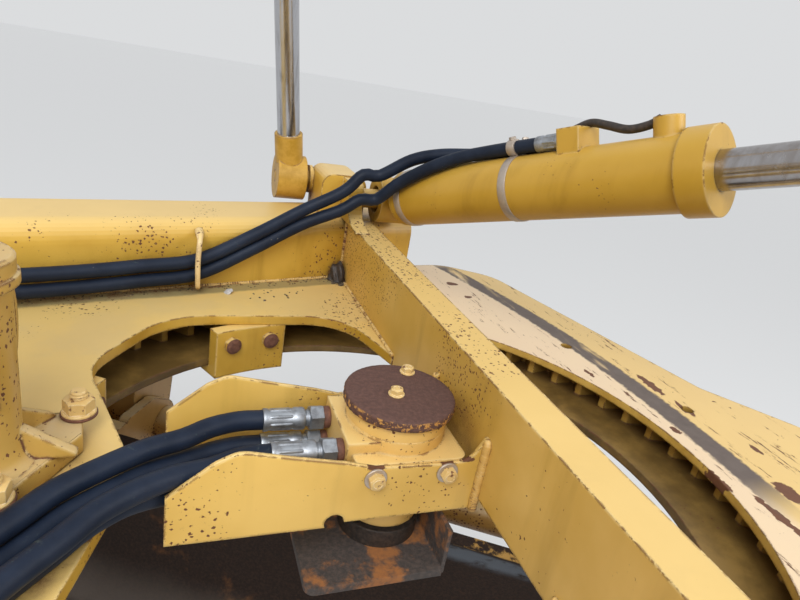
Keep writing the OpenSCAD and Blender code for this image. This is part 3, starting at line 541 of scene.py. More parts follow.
cap_rust = cap_finish()
greasy_metal = rusty("greasy_metal", (0.020, 0.016, 0.014), (0.060, 0.042, 0.032), 0.62, 0.78,
                     roughness=0.55).material
pinion_steel = rusty("pinion_steel", (0.10, 0.075, 0.055), (0.20, 0.15, 0.10), 0.6, 0.8,
                     roughness=0.5).material
bracket_steel = rusty("bracket_steel", (0.042, 0.036, 0.034), (0.090, 0.068, 0.058), 0.47, 0.58,
                      scale=12).material
rusty_bolt = rusty("rusty_bolt", (0.11, 0.045, 0.028), (0.20, 0.085, 0.05), 0.6, 0.75, scale=40).material
print("rusts:", [m.name for m in (cap_rust, greasy_metal, pinion_steel, bracket_steel, rusty_bolt)])

# %% The blade's steel
BLADE_TOP_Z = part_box("moldboard")[1].z


def blade_finish():
    f = rusty("blade_steel", (0.020, 0.012, 0.009), (0.046, 0.026, 0.018), 0.60, 0.76, scale=4.0)
    f.shader.inputs["Specular IOR Level"].default_value = 0.25
    depth = f.minus(BLADE_TOP_Z, f.axis("Z"))
    wavy = f.plus(depth, f.times(f.minus(f.noise(6, 5, 0.6), 0.5), 0.05))
    band = f.between(wavy, 0.015, 0.035, 0.075, 0.11)
    base = f.blend(f.base, (0.15, 0.17, 0.20), f.times(band, f.patches(0.30, 0.52, 22, 5, 0.65)))
    base = f.blend(base, (0.24, 0.20, 0.17), f.times(f.mask(wavy, 0.38, 0.52), 0.6))
    top = f.rest(f.mask(depth, 0.002, 0.012))
    paint_left = f.times(f.patches(0.5, 0.56, 12, 5, 0.65), f.rest(band))
    f.colour(f.blend(base, (0.50, 0.29, 0.08), f.times(paint_left, top)))
    return f.material


def edge_finish():
    f = Finish("edge_steel", 0.38, 0.85)
    drag = f.noise(1.0, 5, 0.65, place=f.stretched((60, 60, 4)))
    f.colour(f.blend((0.30, 0.27, 0.25), (0.52, 0.50, 0.48), drag))
    f.edges(0.003)
    f.rough(f.plus(0.28, f.times(drag, 0.3)))
    f.bump(drag, 0.0008, 0.5, f.rounded)
    return f.material


blade_steel = blade_finish()
edge_steel = edge_finish()
print("blade's top edge at", round(BLADE_TOP_Z, 3))

# %% Chrome and the lift rods
CHROME = (0.50, 0.50, 0.52)
LIFT_BALL = at(15, 872, 225)
LIFT_WAY = Vector((0.15, -0.22, 1)).normalized()
PAINTED_END = 0.114


def chrome_finish():
    f = Finish("chrome", 0.12, 1.0)
    streak = f.noise(1.0, 4, 0.6, place=f.stretched((90, 90, 6)))
    grime = f.patches(0.60, 0.75, 30, 5, 0.7)
    f.colour(f.blend(CHROME, (0.22, 0.18, 0.15), f.most(f.times(grime, 0.5), streak)))
    f.rough(f.plus(0.16, f.plus(f.times(streak, 0.10), f.times(grime, 0.25))))
    return f.material


def rod_finish():
    """Chrome beyond a distance from the ball, measured along the rod, and paint below it, on both sides."""
    f = Finish("lift_rod_chrome", 0.3, 1.0)
    x = f.times(f.plus(f.axis("X"), -LIFT_BALL.x), LIFT_WAY.x)
    y = f.times(f.plus(f.math("ABSOLUTE", f.axis("Y")), -LIFT_BALL.y), LIFT_WAY.y)
    z = f.times(f.plus(f.axis("Z"), -LIFT_BALL.z), LIFT_WAY.z)
    bare = f.mask(f.plus(f.plus(x, y), z), PAINTED_END, PAINTED_END + 0.001)
    streak = f.noise(1.0, 4, 0.6, place=f.stretched((90, 90, 6)))
    paint = f.blend((0.42, 0.235, 0.022), (0.56, 0.33, 0.055), f.patches(0.36, 0.66, 26, 5, 0.7))
    ragged = f.noise(38, 6, 0.7)
    chips = f.mask(f.times(f.edges(0.004), f.mask(ragged, 0.48, 0.60)), 0.02, 0.09)
    paint = f.blend(paint, RUST_BROWN, f.most(chips, f.specks(120, 0.28, 6.0, 0.50, 0.70)))
    steel = f.blend(CHROME, (0.20, 0.18, 0.16), f.times(f.mask(streak, 0.45, 0.8), 0.6))
    f.colour(f.blend(paint, steel, bare))
    f.put(f.shader.inputs["Metallic"], bare)
    f.rough(f.minus(0.45, f.times(bare, f.plus(0.18, f.times(streak, 0.15)))))
    f.bump(ragged, 0.0006, 0.3, f.rounded)
    return f.material


chrome = chrome_finish()
lift_rod_finish = rod_finish()
print("lift rods are painted for", PAINTED_END, "m")

# %% Plating, tan bolts, washers and rubber
def plated_finish():
    f = Finish("plated_steel", 0.4, 0.9)
    blotch = f.noise(70, 5, 0.65)
    f.colour(f.blend((0.40, 0.43, 0.47), (0.24, 0.25, 0.27), f.mask(blotch, 0.4, 0.7)))
    f.rough(f.plus(0.34, f.times(blotch, 0.25)))
    f.edges(0.0012)
    f.bump(blotch, 0.0003, 0.4, f.rounded)
    return f.material


def tan_finish():
    f = Finish("tan_bolts", 0.5)
    blotch = f.noise(110, 6, 0.7)
    coat = f.blend((0.62, 0.40, 0.13), (0.74, 0.53, 0.22), blotch)
    worn = f.mask(f.times(f.edges(0.0015), f.mask(blotch, 0.4, 0.6)), 0.02, 0.1)
    coat = f.blend(coat, (0.80, 0.66, 0.42), worn)
    f.colour(f.blend(coat, RUST_BROWN, f.patches(0.58, 0.64, 90, 6, 0.7, 0.3)))
    f.bump(blotch, 0.0006, 0.5, f.rounded)
    return f.material


def washer_finish():
    f = Finish("worn_washer", 0.45, 0.6)
    blotch = f.noise(130, 6, 0.7)
    f.colour(f.blend((0.36, 0.31, 0.27), (0.58, 0.50, 0.42), blotch))
    f.edges(0.001)
    f.bump(blotch, 0.0005, 0.5, f.rounded)
    return f.material


def hose_finish():
    f = Finish("hose_rubber", 0.5)
    f.shader.inputs["Specular IOR Level"].default_value = 0.22
    scuff = f.patches(0.60, 0.70, 30, 6, 0.7, 0.4)
    up = f.mask(f.facing_up(), -0.2, 0.9)
    # The rubber is near black; its blue tint is a painted reflection of the sky.
    coat = f.blend((0.006, 0.011, 0.024), (0.014, 0.022, 0.042), f.patches(0.35, 0.65, 9, 5, 0.6))
    coat = f.blend(coat, (0.06, 0.085, 0.085), f.times(scuff, f.times(up, 0.6)))
    dots = f.specks(90, 0.22, 6.0, 0.56, 0.70)
    f.colour(f.blend(coat, (0.20, 0.19, 0.17), f.times(dots, 0.6)))
    f.rough(f.plus(0.40, f.times(f.noise(60, 4, 0.6), 0.25)))
    cloth = f.noise(420, 2, 0.5)
    f.bump(f.plus(cloth, f.times(scuff, 1.5)), 0.0005, 0.35)
    return f.material


plated_steel = plated_finish()
tan_bolts = tan_finish()
worn_washer = washer_finish()
hose_rubber = hose_finish()
print("finishes so far:", len(bpy.data.materials))

# %% [markdown]
# ## Dress the built pieces
# A built node keeps its mesh, and only its material changes. One table says which nodes wear each finish.

# %% Which node wears which finish
WEARS = [
    (cross_beam_lit_paint, "cross_beam"),
    (frame_paint, "beam_left beam_right nose corner_block_left corner_block_right"),
    (frame_paint, "bulkhead_left bulkhead_right hose_staple"),
    (plate_paint, "yoke_plate circle_shoes drive_housing drive_head drive_motor"),
    (swivel_paint, "swivel_housing"),
    (guard_paint, "swivel_guard"),
    (cylinder_paint, "centre_shift_barrel lift_barrel_left lift_barrel_right tip_barrel side_shift_barrel"),
    (blade_paint, "blade_arm_left blade_arm_right tip_lug carrier_left carrier_right carrier_tube"),
    (blade_paint, "rail_upper rail_lower"),
    (circle_paint, "circle_ring"),
    (cap_rust, "swivel_cap"),
    (bracket_steel, "spool_bracket"),
    (greasy_metal, "wear_strips swivel_spool carrier_pins"),
    (pinion_steel, "pinion"),
    (blade_steel, "moldboard"),
    (edge_steel, "cutting_edge end_bits"),
    (chrome, "side_shift_rod tip_rod centre_shift_rod"),
    (lift_rod_finish, "lift_rod_left lift_rod_right"),
    (plated_steel, "swivel_fittings"),
    (tan_bolts, "swivel_bolts drive_nuts"),
    (hose_rubber, "swivel_hoses shift_hoses barrel_hoses"),
]


def dress():
    done = 0
    for material, names in WEARS:
        for name in names.split():
            NODES[name].data.materials.clear()
            NODES[name].data.materials.append(material)
            done += 1
    return done


print("nodes dressed:", dress(), "of", len(NODES))

# %% [markdown]
# ## Working in mesh code
# Most small parts here are turned or drawn: a bolt, a washer and a hose end are profiles spun round an axis,
# and a hose or a bent rod is a circle carried along a path. A cast plate is an outline made thick. Each is a
# pile of rings of points, so one helper joins rings into a closed skin, and another finishes any mesh as an
# object that sits at the origin with its normals outwards.

# %% Skins and turned parts
def finished(name, bm, material, sharp=35):
    bmesh.ops.remove_doubles(bm, verts=bm.verts, dist=0.00002)
    bmesh.ops.recalc_face_normals(bm, faces=bm.faces)
    mesh = bpy.data.meshes.new(name)
    bm.to_mesh(mesh)
    bm.free()
    piece = bpy.data.objects.new(name, mesh)
    bpy.context.scene.collection.objects.link(piece)
    mesh.materials.append(material)
    mesh.shade_smooth()
    mesh.set_sharp_from_angle(angle=math.radians(sharp))
    return piece


def skin(bm, rings):
    """Joins rings of points, all with one count, and closes both ends."""
    rows = [[bm.verts.new(point) for point in ring] for ring in rings]
    for low, high in zip(rows, rows[1:]):
        for k in range(len(low)):
            n = (k + 1) % len(low)
            bm.faces.new((low[k], low[n], high[n], high[k]))
    bm.faces.new(rows[0][::-1])
    bm.faces.new(rows[-1])


def spin_rings(bm, rings, place):
    """Rings of (radius for each angle, height) in millimetres, as a skin about the place's Z axis."""
    rows = []
    for ring in rings:
        count = len(ring)
        rows.append([place @ Vector((r * math.cos(math.tau * k / count) / 1000,
                                     r * math.sin(math.tau * k / count) / 1000, z / 1000))
                     for k, (r, z) in enumerate(ring)])
    skin(bm, rows)


def turned(bm, profile, place, sides=32):
    """A profile of (radius, height) rows turned round the place's own Z axis."""
    spin_rings(bm, [[(r, z)] * sides for r, z in profile], place)


def hexagon(bm, corner, low, high, place, sides=48):
    """A bolt head or nut: a hexagon with its corners cut back by a cone at the top."""
    flat = corner * math.cos(math.pi / 6)
    top = flat * 0.94
    outline = []
    for k in range(sides):
        a = (math.tau * k / sides) % (math.pi / 3) - math.pi / 6
        outline.append(flat / math.cos(a))
    slope = math.tan(math.radians(30))
    rings = [[(r, low) for r in outline], [(r, high - (r - top) * slope) for r in outline],
             [(top, high)] * sides]
    spin_rings(bm, rings, place)


print("turning is ready")

# %% Cast plates
def rounded(corners, steps=6):
    """An outline of (x, y, radius) corners as points, with each corner rounded."""
    out = []
    for k, (x, y, radius) in enumerate(corners):
        point = Vector((x, y))
        if radius == 0:
            out.append(point)
            continue
        before = (Vector(corners[k - 1][:2]) - point).normalized()
        after = (Vector(corners[(k + 1) % len(corners)][:2]) - point).normalized()
        half = before.angle(after) / 2
        middle = point + (before + after).normalized() * radius / math.sin(half)
        start = point + before * radius / math.tan(half) - middle
        end = point + after * radius / math.tan(half) - middle
        out += [middle + start.slerp(end, j / steps) for j in range(steps + 1)]
    return out


def inset(outline, by):
    out = []
    for k, point in enumerate(outline):
        before, after = outline[k - 1], outline[(k + 1) % len(outline)]
        ahead = (after - before).normalized()
        out.append(point + Vector((-ahead.y, ahead.x)) * by)
    return out


def slab(bm, outline, low, high, place, edge=1.5):
    """An outline (anticlockwise) made thick, with a small round on its two rims."""
    rims = ((edge, low), (0, low + edge), (0, high - edge), (edge * 0.3, high - edge * 0.3), (edge, high))
    skin(bm, [[place @ Vector((p.x / 1000, p.y / 1000, z / 1000)) for p in inset(outline, by)]
              for by, z in rims])


print("plates are ready")

# %% Places that face a way, and drawn paths
def facing(point, direction):
    """A place whose Z axis points along a direction."""
    turn = Vector(direction).to_track_quat("Z", "X").to_matrix().to_4x4()
    return Matrix.Translation(point) @ turn


def smooth_path(points, step=0.012):
    """A curve through all points, sampled about every step metres."""
    points = [Vector(p) for p in points]
    padded = [2 * points[0] - points[1]] + points + [2 * points[-1] - points[-2]]
    out = []
    for a, b, c, d in zip(padded, padded[1:], padded[2:], padded[3:]):
        count = max(2, round((c - b).length / step))
        for k in range(count):
            t = k / count
            out.append(0.5 * (2 * b + (c - a) * t + (2 * a - 5 * b + 4 * c - d) * t ** 2
                              + (3 * b - a - 3 * c + d) * t ** 3))
    return out + [points[-1]]


def drawn(bm, path, radius, sides=20):
    """A round section carried along a path without twisting. Its radius may change along the way."""
    side = (path[1] - path[0]).orthogonal().normalized()
    angles = [math.tau * j / sides for j in range(sides)]
    rows = []
    for k, point in enumerate(path):
        ahead = (path[min(k + 1, len(path) - 1)] - path[max(k - 1, 0)]).normalized()
        side = (side - side.dot(ahead) * ahead).normalized()
        other = ahead.cross(side)
        r = radius(k / (len(path) - 1)) if callable(radius) else radius
        rows.append([point + r * (side * math.cos(a) + other * math.sin(a)) for a in angles])
    skin(bm, rows)


print("drawing is ready")

# %% [markdown]
# ## The swivel's hoses
# Four hoses leave the swivel, two above two, and drop a little before they cross the plate to the left beam.
# A real hose is stiff, so it bends in long curves with no corner. Each is one round section drawn along
# a curve through the route's points. It leaves and ends where the built hoses do, and lies lower between.
# A route's row has the place between the hoses, two heights, and how far each pair stands apart.

# %% Swivel hoses
HOSE_RADIUS = 0.0135
SWIVEL_ROUTE = [(176, 0, 62, 22, 38, 38), (202, 0, 62, 22, 38, 38), (230, 8, 62, 24, 37, 36),
                (262, 24, 61, 30, 34, 30), (304, 42, 64, 36, 31, 22), (346, 72, 68, 44, 28, 14),
                (384, 102, 68, 44, 28, 14), (408, 132, 68, 44, 28, 14), (440, 170, 68, 44, 28, 14),
                (490, 228, 68, 44, 31, 15), (542, 286, 70, 44, 34, 20), (604, 348, 72, 44, 38, 38),
                (668, 412, 72, 44, 38, 38)]


def beside(rows, way, low):
    points = []
    for k, row in enumerate(rows):
        before, after = rows[max(k - 1, 0)], rows[min(k + 1, len(rows) - 1)]
        ahead = Vector((after[0] - before[0], after[1] - before[1])).normalized()
        off = way * row[4 + low]
        points.append(at(row[0] - off * ahead.y, row[1] + off * ahead.x, row[2 + low]))
    return points


def swivel_hoses():
    bm = bmesh.new()
    ends = []
    for way in (-1, 1):
        for low in (0, 1):
            points = beside(SWIVEL_ROUTE, way, low)
            drawn(bm, smooth_path(points), HOSE_RADIUS)
            ends.append((points[-1], points[-1] - points[-2]))
    piece = finished("swivel_hose_set", bm, hose_rubber)
    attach(piece, "drawbar")
    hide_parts("swivel_hoses")
    return ends


far_ends = swivel_hoses()
print("hoses:", len(far_ends))

# %% [markdown]
# ## The centre-shift hoses
# Two more hoses lie along the right beam, pass through a bent rod and climb over the corner to the cylinder.
# The cylinder swings on its ball, so these hoses must bend between the drawbar and the barrel.
# Each is one unbroken tube here. A row of the route has one
# hose's place and how far the other lies from it; on the barrel a row is a length, a radius and an angle.

# %% Centre-shift hoses
SHIFT_BALL = (-203, -713, 224)
SHIFT_WAY = Vector((-0.370, 0.8725, 0.318)).normalized()
SHIFT_UP = (Vector((0, 0, 1)) - SHIFT_WAY.z * SHIFT_WAY).normalized()
SHIFT_FAR = SHIFT_UP.cross(SHIFT_WAY)
WEB_ROUTE = [(742, -424, 68, 0, 32), (706, -424, 68, 0, 32), (620, -449, 58, 0, 31), (530, -482, 54, 0, 31),
             (440, -512, 54, 0, 31), (350, -540, 58, 0, 31), (240, -572, 66, 0, 31), (130, -600, 116, 0, 31),
             (26, -622, 172, 0, 32), (-60, -622, 212, 0, 42), (-100, -620, 240, 0, 56)]
RISE_ROUTES = [[(-138, -620, 244), (-170, -588, 288)],
               [(-138, -620, 298), (-196, -592, 344), (-246, -556, 368)]]
BARREL_ROWS = [[(190, 81, -48), (260, 80, -28), (340, 79, -14), (494, 79, -12)],
               [(275, 80, 12), (350, 79, 12), (494, 79, 12)]]


def on_barrel(along, out, turn):
    a = math.radians(turn)
    side = math.cos(a) * SHIFT_UP + math.sin(a) * SHIFT_FAR
    return at(*SHIFT_BALL) + (along * SHIFT_WAY + out * side) / 1000


def shift_hose(k):
    points = [at(x, y + k * wide, z + k * tall) for x, y, z, wide, tall in WEB_ROUTE]
    points += [at(*p) for p in RISE_ROUTES[k]]
    points += [on_barrel(*row) for row in BARREL_ROWS[k]]
    bm = bmesh.new()
    drawn(bm, smooth_path(points), HOSE_RADIUS)
    piece = finished(f"shift_hose_{k + 1}", bm, hose_rubber)
    if k:
        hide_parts("barrel_hoses")
    else:
        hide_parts("shift_hoses")
    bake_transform(piece)
    return len(points)


print("points on the two routes:", shift_hose(0), shift_hose(1))

# %% [markdown]
# ## Hose ends
# A crimped end has a rubber hose pushed into a steel sleeve that a press has squeezed in eight places.
# Then come a small shoulder, a hexagon nut and the adapter that screws into the block. The adapter is old
# and rusty, while the ends are new, because hoses wear out first. All of it is a lathe job with two hexagons.

# %% Hose ends
PORTS = [(84, y, z) for y in (-38, 38) for z in (22, 62)]
CRIMPS = 8
NUT_END = 36


def sleeve(bm, place, length=56, radius=15.6):
    turned(bm, [(9, 0), (radius - 0.8, 0), (radius, 2), (radius, 13), (radius - 1.2, 16),
                (radius - 1.2, length - 8), (radius, length - 6), (radius, length - 1.5),
                (radius - 0.4, length), (13.6, length)], place)
    for k in range(CRIMPS):
        turn = Matrix.Rotation(math.tau * k / CRIMPS, 4, "Z")
        ridge = place @ turn @ Matrix.Translation((0.0132, 0, 0.017))
        turned(bm, [(1.4, 0), (2.3, 2), (2.3, length - 28), (1.4, length - 26)], ridge, 8)


def swivel_fittings():
    steel, rust = bmesh.new(), bmesh.new()
    for port in PORTS:
        place = facing(at(*port), (1, 0, 0))
        turned(rust, [(10, 0), (15, 0), (15.4, 1), (15.4, 7), (14, 9), (14, 10.5), (10, 10.5)], place)
        hexagon(steel, 18, 10, 29, place)
        turned(steel, [(9, 29), (11.5, 29), (11.5, 33), (10.5, 34), (10.5, 37), (9, 37)], place, 24)
        sleeve(steel, place @ Matrix.Translation((0, 0, NUT_END / 1000)))
    ends = finished("hose_ends", steel, plated_steel)
    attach(ends, "drawbar")
    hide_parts("swivel_fittings")
    adapters = finished("hose_adapters", rust, rusty_bolt)
    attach(adapters, "drawbar")
    return len(ends.data.polygons)


print("faces in the four ends:", swivel_fittings())

# %% Ends at the bulkheads and at the cylinder
FAR_SLEEVE, WEB_SLEEVE, BARREL_SLEEVE = 56, 36, 50


def far_fittings():
    bm = bmesh.new()
    for point, ahead in far_ends:
        sleeve(bm, facing(point - ahead.normalized() * FAR_SLEEVE / 1000, ahead), FAR_SLEEVE)
    for k in (0, 1):
        x, y, z, wide, tall = WEB_ROUTE[0]
        sleeve(bm, facing(at(x - WEB_SLEEVE, y + k * wide, z + k * tall), (1, 0, 0)), WEB_SLEEVE)
    piece = finished("bulkhead_sleeves", bm, plated_steel)
    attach(piece, "drawbar")
    bm = bmesh.new()
    for rows in BARREL_ROWS:
        last = on_barrel(*rows[-1])
        way = (last - on_barrel(*rows[-2])).normalized()
        sleeve(bm, facing(last - way * BARREL_SLEEVE / 1000, way), BARREL_SLEEVE, 15.2)
    piece = finished("cylinder_sleeves", bm, plated_steel)
    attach(piece, "centre_shift_barrel")


far_fittings()
print("sleeves:", len(far_ends) + 2 + len(BARREL_ROWS))

# %% The pipe along the barrel
PIPE = [(505, 98, 6), (540, 104, 4), (575, 94, 0), (612, 82, 0), (648, 84, 0), (668, 92, 0)]
PIPE_RADIUS = 0.0075


def barrel_pipe():
    bm = bmesh.new()
    drawn(bm, smooth_path([on_barrel(*row) for row in PIPE], 0.006), PIPE_RADIUS, 16)
    piece = finished("barrel_pipe", bm, greasy_metal)
    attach(piece, "centre_shift_barrel")
    return len(piece.data.polygons)


print("faces in the pipe:", barrel_pipe())

# %% [markdown]
# ## Bolts, nuts and studs
# Every fastener here needs only three shapes: a washer, a hexagon with a cone cut off its corners,
# and a threaded end. The thread is turned as fine ridges, which at this size reads as a thread.
# The guard's bolts are tan and the shoes' bolts are rusty, so each group gets its own finish.

# %% Fasteners
def washer(bm, place, outer, inner, thick):
    turned(bm, [(inner, 0), (outer, 0), (outer + 0.4, 0.6), (outer + 0.4, thick - 0.8), (outer - 0.4, thick),
                (inner, thick)], place, 40)


def thread(bm, place, radius, low, high, pitch=3.0):
    profile = [(radius - 1.6, low)]
    z = low
    while z < high - pitch * 1.5:
        profile += [(radius, z + pitch * 0.35), (radius, z + pitch * 0.5), (radius - 1.3, z + pitch)]
        z += pitch
    profile += [(radius - 1.3, high - 1.5), (radius - 3, high)]
    turned(bm, profile, place, 28)


def marked_head(bm, place, corner, low, high):
    """A hexagon head with a shallow raised ring on it, as a forge leaves it."""
    hexagon(bm, corner, low, high, place)
    turned(bm, [(corner * 0.5, high - 0.2), (corner * 0.52, high + 0.5), (corner * 0.62, high + 0.5),
                (corner * 0.64, high - 0.2)], place)


def twisted(point, direction, angle):
    """A place that faces along a direction and is turned about it, since no two heads stop alike."""
    return facing(point, direction) @ Matrix.Rotation(angle, 4, "Z")


print("fastener shapes ready")

# %% The swivel's bolts
CAP_BOLTS = [(-29, -52), (8, 6)]
CAP_HIGH = 123
GUARD_BOLTS = [(52, 53), (-47, 53)]


def swivel_bolts():
    bm, plain = bmesh.new(), bmesh.new()
    for k, (x, y) in enumerate(CAP_BOLTS):
        place = twisted(at(x, y, CAP_HIGH), (0.02, 0.01, 1), 0.3 + 0.5 * k)
        turned(bm, [(6, 0), (11.2, 0), (11.2, 1.5), (10, 2.2), (6, 2.2)], place)
        marked_head(bm, place, 9.4, 2, 9.2)
    for way in (-1, 1):
        for k, (x, z) in enumerate(GUARD_BOLTS):
            place = twisted(at(x, GUARD_OUT * way, z), (0, way, 0), 0.2 + 0.35 * k)
            washer(plain, place, 14.5, 7, 3.2)
            marked_head(bm, place, 11.2, 3.2, 12.6)
    heads = finished("swivel_bolt_heads", bm, tan_bolts)
    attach(heads, "drawbar")
    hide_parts("swivel_bolts")
    washers = finished("guard_washers", plain, worn_washer)
    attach(washers, "drawbar")


swivel_bolts()
print("bolts on the swivel:", len(CAP_BOLTS) + 2 * len(GUARD_BOLTS))

# %% The drive's nuts
DRIVE_X = 498.2
STUD_PLACES = [(-98, -80), (-38, 76), (98, 76), (98, -80)]
FOOT_TOP = 56


def drive_nuts():
    bm, plain = bmesh.new(), bmesh.new()
    for k, (x, y) in enumerate(STUD_PLACES):
        place = twisted(at(DRIVE_X + x, y, FOOT_TOP), (0, 0, 1), 0.4 * k)
        washer(plain, place, 21.5, 11, 4)
        turned(bm, [(11, 4), (20.4, 4), (20.4, 6), (19, 7.5), (11, 7.5)], place, 40)
        hexagon(bm, 19, 7, 24, place)
        thread(bm, place, 10.9, 22, 35)
    nuts = finished("drive_nut_set", bm, tan_bolts)
    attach(nuts, "drawbar")
    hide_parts("drive_nuts")
    washers = finished("drive_washers", plain, rusty_bolt)
    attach(washers, "drawbar")


drive_nuts()
print("nuts on the drive's foot:", len(STUD_PLACES))

# %% [markdown]
# ## The circle drive's case
# The drive is a casting on a foot. Its upright column holds the pinion's shaft, low ribs brace it, and a
# round case across it holds the worm, with its cover towards the nose. The motor's head stands ahead of the
# column on a short neck. Each form is turned or is a plate with rounded rims, and they run into one another
# as a casting does.

# %% The circle drive
FOOT = [(-130, -115, 30), (130, -115, 30), (130, 108, 30), (-50, 108, 24), (-130, -30, 24)]
RIB = [(36, 54, 0), (106, 54, 0), (106, 59, 0), (58, 106, 12), (36, 110, 0)]
RIB_TURNS = (0, 90, 180, 231, 285)
COLUMN = [(58, 50), (66, 55), (60, 60), (55, 68), (52, 84), (52, 262), (60, 266), (60, 276), (57, 277),
          (57, 293), (54, 296)]
WORM = [(52, 5), (58, 5), (60, 0), (70, 0), (73, 3), (73, 20), (69, 24), (69, 148), (73, 152), (73, 166),
        (70, 169)]
NECK = [(50, 240), (46, 290), (46, 334), (58, 338), (58, 352), (54, 354)]
HEAD = [(46, 0), (54, 0), (56, 2), (56, 16), (52, 20), (52, 220), (56, 224), (56, 258), (53, 260), (45, 262),
        (45, 378), (50, 382), (50, 400), (46, 402)]
HEAD_CAP = [(34, 470), (34, 492), (31, 495)]
WORM_Z, WORM_BACK, WORM_COVER = 202, -41, 128
NECK_X = 74
HEAD_Z, HEAD_START, HEAD_FLANGE, HEAD_PAD = 425, -120, 140, 196


def box_outline(half_x, half_y, radius):
    return rounded([(x * half_x, y * half_y, radius) for x, y in ((-1, -1), (1, -1), (1, 1), (-1, 1))])


def drive_case():
    bm = bmesh.new()
    middle = Matrix.Translation(at(DRIVE_X, 0, 0))
    slab(bm, rounded(FOOT), PLATE_TOP, FOOT_TOP, middle, 3)
    turned(bm, COLUMN, middle, 64)
    for turn in RIB_TURNS:
        a = math.radians(turn)
        out, up = Vector((math.cos(a), math.sin(a), 0)), Vector((0, 0, 1))
        stand = Matrix((out, up, out.cross(up))).transposed().to_4x4()
        slab(bm, rounded(RIB), -8, 8, middle @ stand, 2.5)
    turned(bm, WORM, facing(at(DRIVE_X + WORM_BACK, 0, WORM_Z), (1, 0, 0)), 64)
    neck = Matrix.Translation(at(DRIVE_X + NECK_X, 0, 0))
    turned(bm, NECK, neck, 48)
    slab(bm, box_outline(54, 64, 18), 352, 410, neck, 4)
    turned(bm, HEAD, facing(at(DRIVE_X + NECK_X, HEAD_START, HEAD_Z), (0, 1, 0)), 56)
    turned(bm, HEAD_CAP, neck, 40)
    slab(bm, box_outline(26, 20, 6), 40, 62, facing(at(DRIVE_X + NECK_X, HEAD_PAD, HEAD_Z), (0, 0, 1)), 2)
    piece = finished("circle_drive_case", bm, case_paint, sharp=30)
    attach(piece, "drawbar")
    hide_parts("drive_housing", "drive_head", "drive_motor")
    bolts = bmesh.new()
    flange = facing(at(DRIVE_X + NECK_X, HEAD_FLANGE, HEAD_Z), (0, 1, 0))
    cover = facing(at(DRIVE_X + WORM_COVER, 0, WORM_Z), (1, 0, 0))
    for ring, count, spot in ((flange, 4, (0.049, 0, 0)), (cover, 6, (0.060, 0, -0.002))):
        for k in range(count):
            turn = Matrix.Rotation(math.tau * (k + 0.5) / count, 4, "Z")
            hexagon(bolts, 9, 0, 8, ring @ turn @ Matrix.Translation(spot))
    heads = finished("drive_bolt_heads", bolts, rusty_bolt)
    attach(heads, "drawbar")
    return len(piece.data.polygons)


print("faces in the drive's case:", drive_case())

# %% [markdown]
# ## The swivel's cap
# The cap is a thin steel lid that has lost its paint. Its rim has swollen with rust and sheds flakes, so the
# rim is not a clean circle. Under it the housing's yellow collar shows.

# %% The swivel's cap
CAP_LOW = 107.5
CAP_SIDES = 240
CAP_RINGS = [(60, CAP_LOW, 0), (74, CAP_LOW, 0.3), (76.2, CAP_LOW + 1.5, 0.5), (76.6, CAP_LOW + 4, 0.7),
             (76.8, CAP_LOW + 7, 0.7), (76.4, CAP_HIGH - 6, 0.7), (76.9, CAP_HIGH - 3, 0.5),
             (76, CAP_HIGH - 0.7, 0.3), (74, CAP_HIGH, 0.1), (66, CAP_HIGH - 0.4, 0), (40, CAP_HIGH - 0.2, 0)]
COLLAR = [(50, 86), (70, 86), (70, 100), (68.5, 104), (66, CAP_LOW + 0.2), (50, CAP_LOW + 0.2)]


def swivel_cap():
    bm = bmesh.new()
    place = Matrix.Translation(at(0, 0, 0))
    chance = random.Random(31)
    rings = [[(radius + chance.uniform(-shake, shake), z) for _ in range(CAP_SIDES)]
             for radius, z, shake in CAP_RINGS]
    spin_rings(bm, rings, place)
    cap = finished("swivel_lid", bm, cap_rust, sharp=60)
    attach(cap, "drawbar")
    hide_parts("swivel_cap")
    bm = bmesh.new()
    turned(bm, COLLAR, place, 72)
    collar = finished("swivel_collar", bm, swivel_paint)
    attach(collar, "drawbar")
    return len(cap.data.polygons)


print("faces in the cap:", swivel_cap())

# %% [markdown]
# ## The shoes' bolts
# Two bolts hold the strip in each shoe. Their low heads face the circle's centre and are rusty.

# %% Shoe bolts
SHOE_TURNS = (-72, -24, 24, 72)
SHOE_FACE = 448.5


def shoe_bolts():
    bm = bmesh.new()
    for mid in SHOE_TURNS:
        for off in (-5, 5):
            a = math.radians(mid + off)
            out = Vector((math.cos(a), math.sin(a), 0))
            place = twisted(at(SHOE_FACE * out.x, SHOE_FACE * out.y, -22), -out, 0.3 * off)
            washer(bm, place, 15.5, 8, 1.6)
            marked_head(bm, place, 14.2, 0.8, 3.4)
    piece = finished("shoe_bolt_heads", bm, rusty_bolt)
    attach(piece, "drawbar")


shoe_bolts()
print("shoe bolts:", 2 * len(SHOE_TURNS))

# %% [markdown]
# ## The bent rod that holds the hoses
# A rod bent twice and welded to the web keeps both hoses off the floor of the beam.
# Its upper end was flattened and bulges where it was welded. It is one drawn round section that swells
# at both ends.

# %% Hose staple
STAPLE_X, STAPLE_Y = 240, -597
STAPLE_PATH = [(0, 0, 150), (0, 30, 150), (0, 46, 145), (1, 51, 131), (2, 50, 95), (1, 51, 60), (0, 46, 45),
               (0, 30, 40), (0, 0, 40)]


def staple_radius(t):
    """The rod's radius in metres, with t from zero at its upper end to one at its lower."""
    return 0.0052 + 0.0035 * max(0, 1 - t / 0.22) ** 0.5 + 0.002 * max(0, (t - 0.93) / 0.07)


def hose_staple():
    path = smooth_path([at(STAPLE_X + x, STAPLE_Y + y, z) for x, y, z in STAPLE_PATH], 0.004)
    bm = bmesh.new()
    drawn(bm, path, staple_radius, 16)
    piece = finished("bent_rod", bm, staple_paint)
    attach(piece, "drawbar")
    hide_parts("hose_staple")


